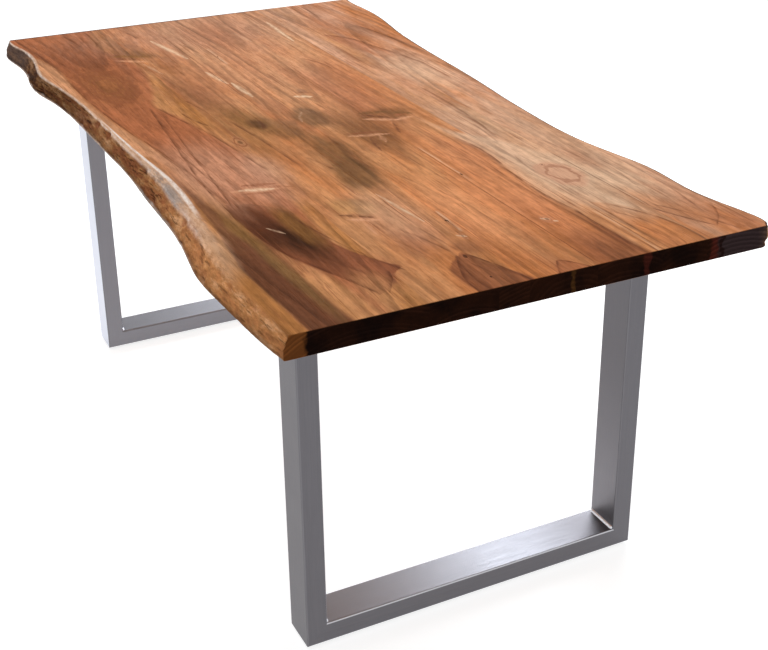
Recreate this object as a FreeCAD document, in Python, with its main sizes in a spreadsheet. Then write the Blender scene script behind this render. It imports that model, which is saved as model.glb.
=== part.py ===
import FreeCAD, Part
import math
import os
import Sketcher
from FreeCAD import Placement, Rotation, Vector

# Live edge dining table: a top of edge-glued planks whose two outer ones keep their natural edge, on two
# U frames of mitred rectangular steel tube. Millimetres, +X along the planks, +Z up. The origin is on the
# floor under the middle of the top. "Near" is the +X end, "left" the -Y edge.

doc = FreeCAD.newDocument("live_edge_dining_table")
sheet = doc.addObject("Spreadsheet::Sheet", "Sizes")

SIZES = (
    ("table_length", 1800, "end to end of the top"),
    ("table_height", 760, "floor to the top's upper face"),
    ("top_width", 860, "between the mean lines of the two live edges"),
    ("top_thickness", 40, "planks"),
    ("left_live_width", 200, "left live plank, glue joint to the mean line of its edge"),
    ("right_live_width", 145, "right live plank, glue joint to the mean line of its edge"),
    ("crest_ease", 6, "worn corner where the upper face runs into a live edge"),
    ("face_belly", 2.5, "how far the middle of a live edge's face bulges out"),
    ("foot_ease", 5, "worn corner where a live edge runs into the underside"),
    ("end_chamfer", 1.5, "eased edges of the sawn ends"),
    ("frame_width", 700, "over the uprights of a U frame"),
    ("frame_setback", 215, "end of the top to a frame's outer face"),
    ("frame_offset", 10, "frames stand this far to the left of the top's middle"),
    ("tube_width", 80, "tube section along the table"),
    ("tube_depth", 40, "tube section across the table, and the floor rail's height"),
    ("tube_wall", 2.5, "tube"),
    ("tube_corner", 4, "outer corner radius of the tube"),
    ("plate_thickness", 6, "mounting plate across the uprights"),
    ("weld_leg", 5, "fillet welds in the inner corners"),
    ("screw_count", 4, "screws in each plate"),
    ("screw_margin", 40, "first and last screw to the upright beside them"),
    ("screw_diameter", 8, "machine screws"),
    ("slot_gap", 0.5, "side clearance of the screws in the plate's slots"),
    ("slot_travel", 16, "how far the planks may move across the plate with the seasons"),
    ("screw_length", 25, "under the head"),
    ("head_height", 5.3, "hexagon head"),
    ("head_flats", 13, "hexagon head, across the flats"),
    ("washer_diameter", 24, "wide washer that bridges the slot"),
    ("washer_thickness", 1.6, "washer"),
    ("insert_wall", 1.9, "threaded insert in the wood"),
    ("insert_length", 16, "threaded insert"),
    ("hole_end_gap", 4.6, "screw's tip to the end of its blind hole in the wood"),
    ("washer_gap", 0.2, "radial clearance of the washers on the screws"),
    ("thread_gap", 0.1, "radial clearance of screws, studs and inserts"),
    ("foot_inset", 45, "floor rail's end to the levelling glide"),
    ("nut_wall", 1.4, "rivet nut's hexagon body, bore to flat"),
    ("nut_lip", 2.5, "how far the rivet nut's round flange stands out past the flats"),
    ("nut_flange_thickness", 1.5, "rivet nut's flange"),
    ("nut_length", 16, "rivet nut's body above the flange"),
    ("stud_diameter", 8, "levelling stud"),
    ("stud_length", 25, "levelling stud above its head"),
    ("stud_lip", 3.5, "how far the flats of the stud's thin hexagon head stand out past its shank"),
    ("stud_head_height", 2.5, "stud's head"),
    ("pad_wall", 6, "hexagon nylon pad round the stud's head, turned with a spanner"),
    ("pad_height", 5, "nylon pad"),
    ("pad_ease", 1, "pad's bevelled lower rim"),
    ("running_gap", 0.3, "pad to rivet nut when screwed right in"),
)

# The inner planks share the width between the live planks in these proportions, left to right.
PLANK_SHARES = (120, 55, 125, 125, 90)

# Stations along the top where the live edges are set out, as shares of half its length, far to near end.
STATIONS = (
    -1.0, -0.867, -0.722, -0.6, -0.444, -0.267, -0.067, 0.111,
    0.289, 0.444, 0.578, 0.689, 0.844, 0.956, 1.0,
)

# How far each edge swings out from its mean line at those stations: (crest, foot), the crest at the upper
# face and the foot at the underside.
LEFT_EDGE = (
    (29, 39), (17, 35), (20, 41), (30, 44), (13, 23), (2, 17), (-1, 14), (-6, 13),
    (-9, 20), (1, 24), (12, 39), (26, 46), (28, 40), (26, 35), (25, 31),
)
RIGHT_EDGE = (
    (39, 46), (35, 45), (27, 41), (9, 29), (-7, 16), (-17, 1), (-28, -14), (-43, -25),
    (-53, -30), (-50, -24), (-31, -10), (-25, -8), (-24, -2), (-10, 4), (-26, -16),
)

for row, (alias, value, note) in enumerate(SIZES, start=1):
    sheet.set(f"A{row}", alias)
    sheet.set(f"B{row}", str(value))
    sheet.set(f"C{row}", note)
    sheet.setAlias(f"B{row}", alias)

first_free_row = len(SIZES) + 1
share_aliases = [f"plank_share_{number}" for number in range(1, len(PLANK_SHARES) + 1)]
station_aliases = [f"station_{number}" for number in range(1, len(STATIONS) + 1)]
edge_cells = list(zip(share_aliases, PLANK_SHARES)) + list(zip(station_aliases, STATIONS))
for side, edge in (("left", LEFT_EDGE), ("right", RIGHT_EDGE)):
    for number, (crest, foot) in enumerate(edge, start=1):
        edge_cells.append((f"{side}_crest_{number}", crest))
        edge_cells.append((f"{side}_foot_{number}", foot))
for row, (alias, value) in enumerate(edge_cells, start=first_free_row):
    sheet.set(f"A{row}", alias)
    sheet.set(f"B{row}", str(value))
    sheet.setAlias(f"B{row}", alias)
doc.recompute()

# Two points closer than this are one, in mm.
SAME_POINT = 1e-4


def value_of(expression):
    """Today's value of an expression on the sheet."""
    return float(sheet.evalExpression(expression))


# Levels, places and fits worked out from the sheet.
UNDERSIDE = "(Sizes.table_height - Sizes.top_thickness)"
PLATE_BOTTOM = f"({UNDERSIDE} - Sizes.plate_thickness)"
RAIL_BOTTOM = "(Sizes.pad_height + Sizes.running_gap + Sizes.nut_flange_thickness)"
RAIL_TOP = f"({RAIL_BOTTOM} + Sizes.tube_depth)"
UPRIGHT_HEIGHT = f"({PLATE_BOTTOM} - {RAIL_BOTTOM})"
FRAME_X = "(Sizes.table_length / 2 - Sizes.frame_setback - Sizes.tube_width / 2)"
UPRIGHT_Y = "(Sizes.frame_width / 2 - Sizes.tube_depth / 2)"
GLIDE_Y = "(Sizes.frame_width / 2 - Sizes.foot_inset)"
SCREW_SPAN = "(Sizes.frame_width - 2 * Sizes.tube_depth - 2 * Sizes.screw_margin)"
SCREW_PITCH = f"({SCREW_SPAN} / (Sizes.screw_count - 1))"
LEFT_JOINT = "(Sizes.left_live_width - Sizes.top_width / 2)"
RIGHT_JOINT = "(Sizes.top_width / 2 - Sizes.right_live_width)"
SLOT_WIDTH = "(Sizes.screw_diameter + 2 * Sizes.slot_gap)"
INSERT_DIAMETER = "(Sizes.screw_diameter + 2 * Sizes.thread_gap + 2 * Sizes.insert_wall)"
HOLE_DEPTH = "(Sizes.screw_length - Sizes.plate_thickness - Sizes.washer_thickness + Sizes.hole_end_gap)"
NUT_FLATS = "(Sizes.stud_diameter + 2 * Sizes.thread_gap + 2 * Sizes.nut_wall)"
STUD_FLATS = "(Sizes.stud_diameter + 2 * Sizes.stud_lip)"
SHARE_SUM = "(" + " + ".join(f"Sizes.{alias}" for alias in share_aliases) + ")"
ENDS = (("near", "1"), ("far", "-1"))


def frame_x(sign):
    return f"({sign} * {FRAME_X})"


def frame_y(distance="0"):
    return f"({distance} - Sizes.frame_offset)"


def inner_joint(number):
    """Y of the glue joint on the left of inner plank `number`, counted from 1."""
    if number == 1:
        return LEFT_JOINT
    passed = " + ".join(f"Sizes.{alias}" for alias in share_aliases[:number - 1])
    return f"({LEFT_JOINT} + ({RIGHT_JOINT} - {LEFT_JOINT}) * ({passed}) / {SHARE_SUM})"


def new_body(label, x, y, z, half_turn=False):
    """An empty body, placed by three expressions and turned half round if asked."""
    body = doc.addObject("PartDesign::Body", label)
    body.Label = label
    body.AllowCompound = True
    if half_turn:
        body.Placement = Placement(Vector(0, 0, 0), Rotation(Vector(0, 0, 1), 180))
    body.setExpression(".Placement.Base.x", x)
    body.setExpression(".Placement.Base.y", y)
    body.setExpression(".Placement.Base.z", z)
    return body


def origin_feature(body, role):
    return next(feature for feature in body.Origin.OriginFeatures if feature.Role == role)


def new_sketch(body, plane, name, lift=None):
    """A sketch on one of the body's own planes, lifted off it by an expression if one is given."""
    sketch = body.newObject("Sketcher::SketchObject", f"{body.Name}_{name}")
    sketch.AttachmentSupport = [(origin_feature(body, plane), "")]
    sketch.MapMode = "FlatFace"
    if lift is not None:
        sketch.setExpression(".AttachmentOffset.Base.z", lift)
    return sketch


def bind(sketch, constraint, expression):
    index = sketch.addConstraint(constraint)
    sketch.setExpression(f"Constraints[{index}]", expression)


def locate(sketch, item, point, across, up):
    """Fix a point of the sketch at two expressions, measured from its origin."""
    for kind, expression in (("DistanceX", across), ("DistanceY", up)):
        if expression is None:
            continue
        distance = value_of(expression)
        if distance < 0:
            bind(sketch, Sketcher.Constraint(kind, item, point, -1, 1, -distance), f"-({expression})")
        else:
            bind(sketch, Sketcher.Constraint(kind, -1, 1, item, point, distance), expression)


def draw_polygon(sketch, corners):
    """A closed outline of straight lines through corners given as pairs of expressions."""
    places = [Vector(value_of(across), value_of(up), 0) for across, up in corners]
    first = sketch.GeometryCount
    for start, end in zip(places, places[1:] + places[:1]):
        sketch.addGeometry(Part.LineSegment(start, end), False)
    for step, (across, up) in enumerate(corners):
        following = first + (step + 1) % len(corners)
        sketch.addConstraint(Sketcher.Constraint("Coincident", first + step, 2, following, 1))
        locate(sketch, first + step, 1, across, up)


def draw_box(sketch, width, depth):
    """A rectangle, its middle on the sketch's origin."""
    across = f"({width}) / 2"
    up = f"({depth}) / 2"
    draw_polygon(sketch, ((f"-{across}", f"-{up}"), (across, f"-{up}"), (across, up), (f"-{across}", up)))


def draw_hexagon(sketch, middle, flats):
    """A hexagon `flats` across, its middle on the vertical axis."""
    corners = []
    for corner in range(6):
        angle = f"{60 * corner + 30} deg"
        reach = f"({flats}) / 2 / cos(30 deg)"
        corners.append((f"{reach} * cos({angle})", f"{middle} + {reach} * sin({angle})"))
    draw_polygon(sketch, corners)


def draw_circle(sketch, across, up, diameter):
    centre = Vector(value_of(across), value_of(up), 0)
    item = sketch.addGeometry(Part.Circle(centre, Vector(0, 0, 1), value_of(diameter) / 2), False)
    bind(sketch, Sketcher.Constraint("Radius", item, value_of(diameter) / 2), f"({diameter}) / 2")
    locate(sketch, item, 3, across, up)


def draw_rounded_box(sketch, width, depth, corner):
    """A rectangle with round corners, its middle on the sketch's origin."""
    half_width = value_of(width) / 2
    half_depth = value_of(depth) / 2
    radius = value_of(corner)
    across = half_width - radius
    up = half_depth - radius
    centres = ((across, up), (-across, up), (-across, -up), (across, -up))
    arcs = []
    for quarter, (centre_x, centre_y) in enumerate(centres):
        circle = Part.Circle(Vector(centre_x, centre_y, 0), Vector(0, 0, 1), radius)
        start = quarter * math.pi / 2
        arcs.append(sketch.addGeometry(Part.ArcOfCircle(circle, start, start + math.pi / 2), False))
    ends = (
        ((across, half_depth), (-across, half_depth)),
        ((-half_width, up), (-half_width, -up)),
        ((-across, -half_depth), (across, -half_depth)),
        ((half_width, -up), (half_width, up)),
    )
    lines = []
    for start, end in ends:
        line = Part.LineSegment(Vector(start[0], start[1], 0), Vector(end[0], end[1], 0))
        lines.append(sketch.addGeometry(line, False))
    for side, line in enumerate(lines):
        sketch.addConstraint(Sketcher.Constraint("Tangent", arcs[side], 2, line, 1))
        sketch.addConstraint(Sketcher.Constraint("Tangent", line, 2, arcs[(side + 1) % 4], 1))
        sketch.addConstraint(Sketcher.Constraint("Horizontal" if side % 2 == 0 else "Vertical", line))
    for arc in arcs[1:]:
        sketch.addConstraint(Sketcher.Constraint("Equal", arcs[0], arc))
    sketch.addConstraint(Sketcher.Constraint("Symmetric", arcs[0], 3, arcs[2], 3, -1, 1))
    bind(sketch, Sketcher.Constraint("Radius", arcs[0], radius), corner)
    span_across = Sketcher.Constraint("DistanceX", arcs[1], 3, arcs[0], 3, 2 * across)
    span_up = Sketcher.Constraint("DistanceY", arcs[3], 3, arcs[0], 3, 2 * up)
    bind(sketch, span_across, f"{width} - 2 * {corner}")
    bind(sketch, span_up, f"{depth} - 2 * {corner}")


def pad(body, sketch, length, midplane=False):
    feature = body.newObject("PartDesign::Pad", f"{sketch.Name}_pad")
    feature.Profile = sketch
    feature.setExpression("Length", length)
    feature.Midplane = midplane
    doc.recompute()
    return feature


def pocket(body, sketch, length, midplane=False, reversed_cut=False):
    """Cut the sketch into the body, and make sure that something was cut."""
    before = body.Shape.Volume
    feature = body.newObject("PartDesign::Pocket", f"{sketch.Name}_pocket")
    feature.Profile = sketch
    feature.setExpression("Length", length)
    feature.Midplane = midplane
    feature.Reversed = reversed_cut
    doc.recompute()
    if body.Shape.Volume >= before:
        raise RuntimeError(f"{feature.Label} cuts nothing")
    return feature


def repeat_along_y(body, features, count, length):
    """Repeat features along +Y, `count` of them over `length`."""
    pattern = body.newObject("PartDesign::LinearPattern", f"{body.Name}_row")
    pattern.Originals = features
    pattern.Direction = (origin_feature(body, "Y_Axis"), [""])
    pattern.setExpression("Length", length)
    pattern.setExpression("Occurrences", count)
    body.Tip = pattern
    doc.recompute()
    return pattern


def edges_where(feature, test):
    names = []
    for number, edge in enumerate(feature.Shape.Edges, start=1):
        if all(test(vertex.Point) for vertex in edge.Vertexes):
            names.append(f"Edge{number}")
    return names


# Top: planks


def ease_sawn_ends(body):
    """Take the sharp edge off both sawn ends, above and below."""
    sketch = new_sketch(body, "XZ_Plane", "eased_ends")
    ease = "Sizes.end_chamfer"
    thickness = "Sizes.top_thickness"
    for sign in ("1", "-1"):
        end = f"{sign} * Sizes.table_length / 2"
        inboard = f"{end} - {sign} * {ease}"
        draw_polygon(sketch, ((inboard, "0"), (end, "0"), (end, ease)))
        draw_polygon(sketch, ((inboard, thickness), (end, thickness), (end, f"{thickness} - {ease}")))
    pocket(body, sketch, "2 * Sizes.top_width", midplane=True)


def bore_insert_holes(body, low, high):
    """Blind holes for the threaded inserts that fall between two Y values."""
    hole = f"({INSERT_DIAMETER} + 2 * Sizes.thread_gap)"
    reach = value_of(hole) / 2
    rows = []
    for number in range(int(value_of("Sizes.screw_count"))):
        row = frame_y(f"({number} * {SCREW_PITCH} - {SCREW_SPAN} / 2)")
        if value_of(low) - reach < value_of(row) < value_of(high) + reach:
            rows.append(row)
    if not rows:
        return
    sketch = new_sketch(body, "XY_Plane", "insert_holes")
    for _, sign in ENDS:
        for row in rows:
            draw_circle(sketch, frame_x(sign), row, hole)
    pocket(body, sketch, HOLE_DEPTH, reversed_cut=True)


def make_inner_plank(number):
    low = inner_joint(number)
    high = inner_joint(number + 1)
    body = new_body(f"inner_plank_{number}", "0", "0", UNDERSIDE)
    sketch = new_sketch(body, "XY_Plane", "outline")
    half = "Sizes.table_length / 2"
    draw_polygon(sketch, ((f"-{half}", low), (half, low), (half, high), (f"-{half}", high)))
    pad(body, sketch, "Sizes.top_thickness")
    ease_sawn_ends(body)
    bore_insert_holes(body, low, high)
    return body


def draw_live_section(sketch, joint, side, number):
    """One cross section of a live plank: joint, upper face, worn crest, bulging face, foot, underside."""
    out = "1" if side == "right" else "-1"
    mean = "Sizes.top_width / 2"
    crest = f"({mean} + Sizes.{side}_crest_{number})"
    foot = f"({mean} + Sizes.{side}_foot_{number})"
    thickness = "Sizes.top_thickness"
    corners = (
        (joint, "0"),
        (joint, thickness),
        (f"{out} * ({crest} - Sizes.crest_ease)", thickness),
        (f"{out} * {crest}", f"{thickness} - Sizes.crest_ease"),
        (f"{out} * (({crest} + {foot}) / 2 + Sizes.face_belly)", f"{thickness} / 2"),
        (f"{out} * {foot}", "Sizes.foot_ease"),
        (f"{out} * ({foot} - Sizes.foot_ease)", "0"),
    )
    draw_polygon(sketch, corners)


def make_live_plank(side, joint):
    """An outer plank, lofted through the sections set out along its natural edge."""
    body = new_body(f"{side}_live_edge_plank", "0", "0", UNDERSIDE)
    sections = []
    for number, station in enumerate(station_aliases, start=1):
        place = f"Sizes.{station} * Sizes.table_length / 2"
        sketch = new_sketch(body, "YZ_Plane", f"section_{number}", place)
        draw_live_section(sketch, joint, side, number)
        sections.append(sketch)
    doc.recompute()
    loft = body.newObject("PartDesign::AdditiveLoft", f"{body.Name}_loft")
    loft.Profile = sections[0]
    loft.Sections = sections[1:]
    doc.recompute()
    ease_sawn_ends(body)
    if side == "left":
        bore_insert_holes(body, "-Sizes.top_width", joint)
    else:
        bore_insert_holes(body, joint, "Sizes.top_width")
    return body


# Frames


def draw_tube_section(sketch):
    draw_rounded_box(sketch, "Sizes.tube_width", "Sizes.tube_depth", "Sizes.tube_corner")
    draw_box(sketch, "Sizes.tube_width - 2 * Sizes.tube_wall", "Sizes.tube_depth - 2 * Sizes.tube_wall")


def make_upright(end, sign, side):
    """A tube standing on the rail's mitre. The right one is the left one turned half round."""
    is_left = side == "left"
    y = frame_y(f"-{UPRIGHT_Y}") if is_left else frame_y(UPRIGHT_Y)
    body = new_body(f"{end}_frame_{side}_upright", frame_x(sign), y, RAIL_BOTTOM, half_turn=not is_left)
    section = new_sketch(body, "XY_Plane", "section")
    draw_tube_section(section)
    pad(body, section, UPRIGHT_HEIGHT)
    mitre = new_sketch(body, "YZ_Plane", "mitre")
    outer = "-Sizes.tube_depth / 2"
    inner = "Sizes.tube_depth / 2"
    draw_polygon(mitre, ((outer, "0"), (inner, "0"), (inner, "Sizes.tube_depth")))
    pocket(body, mitre, "2 * Sizes.tube_width", midplane=True)
    return body


def make_rail(end, sign):
    """The floor rail, mitred to both uprights, with holes for the rivet nuts in its lower wall."""
    level = f"({RAIL_BOTTOM} + Sizes.tube_depth / 2)"
    body = new_body(f"{end}_frame_floor_rail", frame_x(sign), frame_y(), level)
    section = new_sketch(body, "XZ_Plane", "section")
    draw_tube_section(section)
    pad(body, section, "Sizes.frame_width", midplane=True)
    mitres = new_sketch(body, "YZ_Plane", "mitres")
    half = "Sizes.frame_width / 2"
    low = "-Sizes.tube_depth / 2"
    high = "Sizes.tube_depth / 2"
    draw_polygon(mitres, ((f"-{half}", low), (f"Sizes.tube_depth - {half}", high), (f"-{half}", high)))
    draw_polygon(mitres, ((half, low), (f"{half} - Sizes.tube_depth", high), (half, high)))
    pocket(body, mitres, "2 * Sizes.tube_width", midplane=True)
    holes = new_sketch(body, "XY_Plane", "nut_holes", "-Sizes.tube_depth / 2")
    nut_hole = f"{NUT_FLATS} + 2 * Sizes.thread_gap"
    draw_hexagon(holes, f"-{GLIDE_Y}", nut_hole)
    draw_hexagon(holes, GLIDE_Y, nut_hole)
    pocket(body, holes, "2 * Sizes.tube_wall", reversed_cut=True)
    return body


def make_plate(end, sign):
    """The mounting plate, with one slot for each screw."""
    body = new_body(f"{end}_frame_mounting_plate", frame_x(sign), frame_y(), PLATE_BOTTOM)
    outline = new_sketch(body, "XY_Plane", "outline")
    draw_box(outline, "Sizes.tube_width", "Sizes.frame_width")
    pad(body, outline, "Sizes.plate_thickness")
    slot = new_sketch(body, "XY_Plane", "slot")
    draw_slot(slot, f"-{SCREW_SPAN} / 2")
    cut = pocket(body, slot, "Sizes.plate_thickness", reversed_cut=True)
    repeat_along_y(body, [cut], "Sizes.screw_count", SCREW_SPAN)
    return body


def draw_slot(sketch, middle):
    """A slot with round ends that runs along the sketch's vertical axis."""
    radius = value_of(f"{SLOT_WIDTH} / 2")
    reach = value_of("Sizes.slot_travel / 2")
    centre = value_of(middle)
    top = Part.Circle(Vector(0, centre + reach, 0), Vector(0, 0, 1), radius)
    bottom = Part.Circle(Vector(0, centre - reach, 0), Vector(0, 0, 1), radius)
    upper = sketch.addGeometry(Part.ArcOfCircle(top, 0, math.pi), False)
    lower = sketch.addGeometry(Part.ArcOfCircle(bottom, math.pi, 2 * math.pi), False)
    left_line = Part.LineSegment(Vector(-radius, centre + reach, 0), Vector(-radius, centre - reach, 0))
    right_line = Part.LineSegment(Vector(radius, centre - reach, 0), Vector(radius, centre + reach, 0))
    left = sketch.addGeometry(left_line, False)
    right = sketch.addGeometry(right_line, False)
    sketch.addConstraint(Sketcher.Constraint("Tangent", upper, 2, left, 1))
    sketch.addConstraint(Sketcher.Constraint("Tangent", left, 2, lower, 1))
    sketch.addConstraint(Sketcher.Constraint("Tangent", lower, 2, right, 1))
    sketch.addConstraint(Sketcher.Constraint("Tangent", right, 2, upper, 1))
    bind(sketch, Sketcher.Constraint("Radius", upper, radius), f"{SLOT_WIDTH} / 2")
    locate(sketch, upper, 3, "0", f"{middle} + Sizes.slot_travel / 2")
    locate(sketch, lower, 3, "0", f"{middle} - Sizes.slot_travel / 2")


def draw_weld(sketch, across, up, turn_x, turn_y):
    """A quarter-round bead in a corner, on the sides that the two turns (1 or -1) point to."""
    leg = value_of("Sizes.weld_leg")
    corner = Vector(value_of(across), value_of(up), 0)
    along = corner + Vector(turn_x * leg, 0, 0)
    rising = corner + Vector(0, turn_y * leg, 0)
    first = sketch.addGeometry(Part.LineSegment(corner, along), False)
    second = sketch.addGeometry(Part.LineSegment(rising, corner), False)
    circle = Part.Circle(corner, Vector(0, 0, 1), leg)
    start = math.atan2(turn_y, turn_x) - math.pi / 4
    arc = sketch.addGeometry(Part.ArcOfCircle(circle, start, start + math.pi / 2), False)
    runs_from_along = sketch.Geometry[arc].StartPoint.distanceToPoint(along) < SAME_POINT
    arc_along, arc_rising = (1, 2) if runs_from_along else (2, 1)
    sketch.addConstraint(Sketcher.Constraint("Coincident", first, 1, second, 2))
    sketch.addConstraint(Sketcher.Constraint("Coincident", arc, 3, first, 1))
    sketch.addConstraint(Sketcher.Constraint("Coincident", first, 2, arc, arc_along))
    sketch.addConstraint(Sketcher.Constraint("Coincident", second, 1, arc, arc_rising))
    sketch.addConstraint(Sketcher.Constraint("Horizontal", first))
    sketch.addConstraint(Sketcher.Constraint("Vertical", second))
    bind(sketch, Sketcher.Constraint("Radius", arc, leg), "Sizes.weld_leg")
    locate(sketch, first, 1, across, up)


def make_welds(end, sign):
    """Beads across the tube in the frame's four inner corners."""
    body = new_body(f"{end}_frame_corner_welds", frame_x(sign), frame_y(), "0")
    sketch = new_sketch(body, "YZ_Plane", "beads")
    inner = "(Sizes.frame_width / 2 - Sizes.tube_depth)"
    draw_weld(sketch, f"-{inner}", RAIL_TOP, 1, 1)
    draw_weld(sketch, inner, RAIL_TOP, -1, 1)
    draw_weld(sketch, f"-{inner}", PLATE_BOTTOM, 1, -1)
    draw_weld(sketch, inner, PLATE_BOTTOM, -1, -1)
    pad(body, sketch, "Sizes.tube_width - 2 * Sizes.tube_corner", midplane=True)
    return body


# Fasteners


def make_inserts(end, sign):
    """Threaded inserts, flush with the planks' underside."""
    body = new_body(f"{end}_threaded_inserts", frame_x(sign), frame_y(f"-{SCREW_SPAN} / 2"), UNDERSIDE)
    ring = new_sketch(body, "XY_Plane", "ring")
    draw_circle(ring, "0", "0", INSERT_DIAMETER)
    draw_circle(ring, "0", "0", "(Sizes.screw_diameter + 2 * Sizes.thread_gap)")
    sleeve = pad(body, ring, "Sizes.insert_length")
    repeat_along_y(body, [sleeve], "Sizes.screw_count", SCREW_SPAN)
    return body


def make_washers(end, sign):
    level = f"({PLATE_BOTTOM} - Sizes.washer_thickness)"
    body = new_body(f"{end}_washers", frame_x(sign), frame_y(f"-{SCREW_SPAN} / 2"), level)
    ring = new_sketch(body, "XY_Plane", "ring")
    draw_circle(ring, "0", "0", "Sizes.washer_diameter")
    draw_circle(ring, "0", "0", "(Sizes.screw_diameter + 2 * Sizes.washer_gap)")
    disc = pad(body, ring, "Sizes.washer_thickness")
    repeat_along_y(body, [disc], "Sizes.screw_count", SCREW_SPAN)
    return body


def make_screws(end, sign):
    """Hexagon-head machine screws, pushed up through washer and slot into the insert."""
    level = f"({PLATE_BOTTOM} - Sizes.washer_thickness - Sizes.head_height)"
    body = new_body(f"{end}_machine_screws", frame_x(sign), frame_y(f"-{SCREW_SPAN} / 2"), level)
    hexagon = new_sketch(body, "XY_Plane", "hexagon")
    draw_hexagon(hexagon, "0", "Sizes.head_flats")
    head = pad(body, hexagon, "Sizes.head_height")
    circle = new_sketch(body, "XY_Plane", "shank")
    draw_circle(circle, "0", "0", "Sizes.screw_diameter")
    shank = pad(body, circle, "Sizes.head_height + Sizes.screw_length")
    repeat_along_y(body, [head, shank], "Sizes.screw_count", SCREW_SPAN)
    return body


def make_rivet_nuts(end, sign):
    """Rivet nuts in the floor rail: a round flange under the lower wall and a hexagon body above it."""
    level = f"({RAIL_BOTTOM} - Sizes.nut_flange_thickness)"
    body = new_body(f"{end}_rivet_nuts", frame_x(sign), frame_y(f"-{GLIDE_Y}"), level)
    bore = "(Sizes.stud_diameter + 2 * Sizes.thread_gap)"
    flange_ring = new_sketch(body, "XY_Plane", "flange")
    draw_circle(flange_ring, "0", "0", f"{NUT_FLATS} + 2 * Sizes.nut_lip")
    draw_circle(flange_ring, "0", "0", bore)
    flange = pad(body, flange_ring, "Sizes.nut_flange_thickness")
    hexagon = new_sketch(body, "XY_Plane", "hexagon")
    draw_hexagon(hexagon, "0", NUT_FLATS)
    draw_circle(hexagon, "0", "0", bore)
    sleeve = pad(body, hexagon, "Sizes.nut_flange_thickness + Sizes.nut_length")
    repeat_along_y(body, [flange, sleeve], "2", f"2 * {GLIDE_Y}")
    return body


# Levelling glides


def make_stud(name, x, y):
    """A threaded stud with a thin hexagon head."""
    body = new_body(f"{name}_stud", x, y, "(Sizes.pad_height - Sizes.stud_head_height)")
    hexagon = new_sketch(body, "XY_Plane", "head")
    draw_hexagon(hexagon, "0", STUD_FLATS)
    pad(body, hexagon, "Sizes.stud_head_height")
    circle = new_sketch(body, "XY_Plane", "shank")
    draw_circle(circle, "0", "0", "Sizes.stud_diameter")
    pad(body, circle, "Sizes.stud_head_height + Sizes.stud_length")
    return body


def make_pad(name, x, y):
    """A hexagon nylon pad moulded round the stud's head, bevelled where it meets the floor."""
    body = new_body(f"{name}_pad", x, y, "0")
    hexagon = new_sketch(body, "XY_Plane", "outline")
    draw_hexagon(hexagon, "0", f"{STUD_FLATS} + 2 * Sizes.pad_wall")
    block = pad(body, hexagon, "Sizes.pad_height")
    bevel = body.newObject("PartDesign::Chamfer", f"{body.Name}_bevel")
    bevel.Base = (block, edges_where(block, lambda point: abs(point.z) < SAME_POINT))
    bevel.setExpression("Size", "Sizes.pad_ease")
    doc.recompute()
    recess = new_sketch(body, "XY_Plane", "recess", "Sizes.pad_height")
    draw_hexagon(recess, "0", STUD_FLATS)
    pocket(body, recess, "Sizes.stud_head_height")
    return body


parts = [make_live_plank("left", LEFT_JOINT), make_live_plank("right", RIGHT_JOINT)]
parts += [make_inner_plank(number) for number in range(1, len(PLANK_SHARES) + 1)]
for end_name, end_sign in ENDS:
    parts += [make_upright(end_name, end_sign, side) for side in ("left", "right")]
    parts.append(make_rail(end_name, end_sign))
    parts.append(make_plate(end_name, end_sign))
    parts.append(make_welds(end_name, end_sign))
    parts.append(make_inserts(end_name, end_sign))
    parts.append(make_washers(end_name, end_sign))
    parts.append(make_screws(end_name, end_sign))
    parts.append(make_rivet_nuts(end_name, end_sign))
    for glide_side, glide_y in (("left", frame_y(f"-{GLIDE_Y}")), ("right", frame_y(GLIDE_Y))):
        parts.append(make_stud(f"{end_name}_{glide_side}_glide", frame_x(end_sign), glide_y))
        parts.append(make_pad(f"{end_name}_{glide_side}_glide", frame_x(end_sign), glide_y))
doc.recompute()

for item in doc.Objects:
    if "Invalid" in item.State or "Error" in item.State:
        raise RuntimeError(f"{item.Label} did not recompute: {item.State}")
for part in parts:
    if part.Shape.isNull() or not part.Shape.isValid():
        raise RuntimeError(f"{part.Label} has no sound shape")

os.makedirs("parts", exist_ok=True)
for part in parts:
    part.Shape.exportStep(os.path.join("parts", f"{part.Label}.step"))
    box = part.Shape.optimalBoundingBox(False, False)
    lows = f"{box.XMin:.1f} {box.YMin:.1f} {box.ZMin:.1f}"
    highs = f"{box.XMax:.1f} {box.YMax:.1f} {box.ZMax:.1f}"
    print(f"{part.Label}: {len(part.Shape.Solids)} solid(s), from {lows} to {highs}")
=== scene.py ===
import bisect
import math

import bmesh
import bpy
from mathutils import Matrix, Vector, noise


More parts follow.
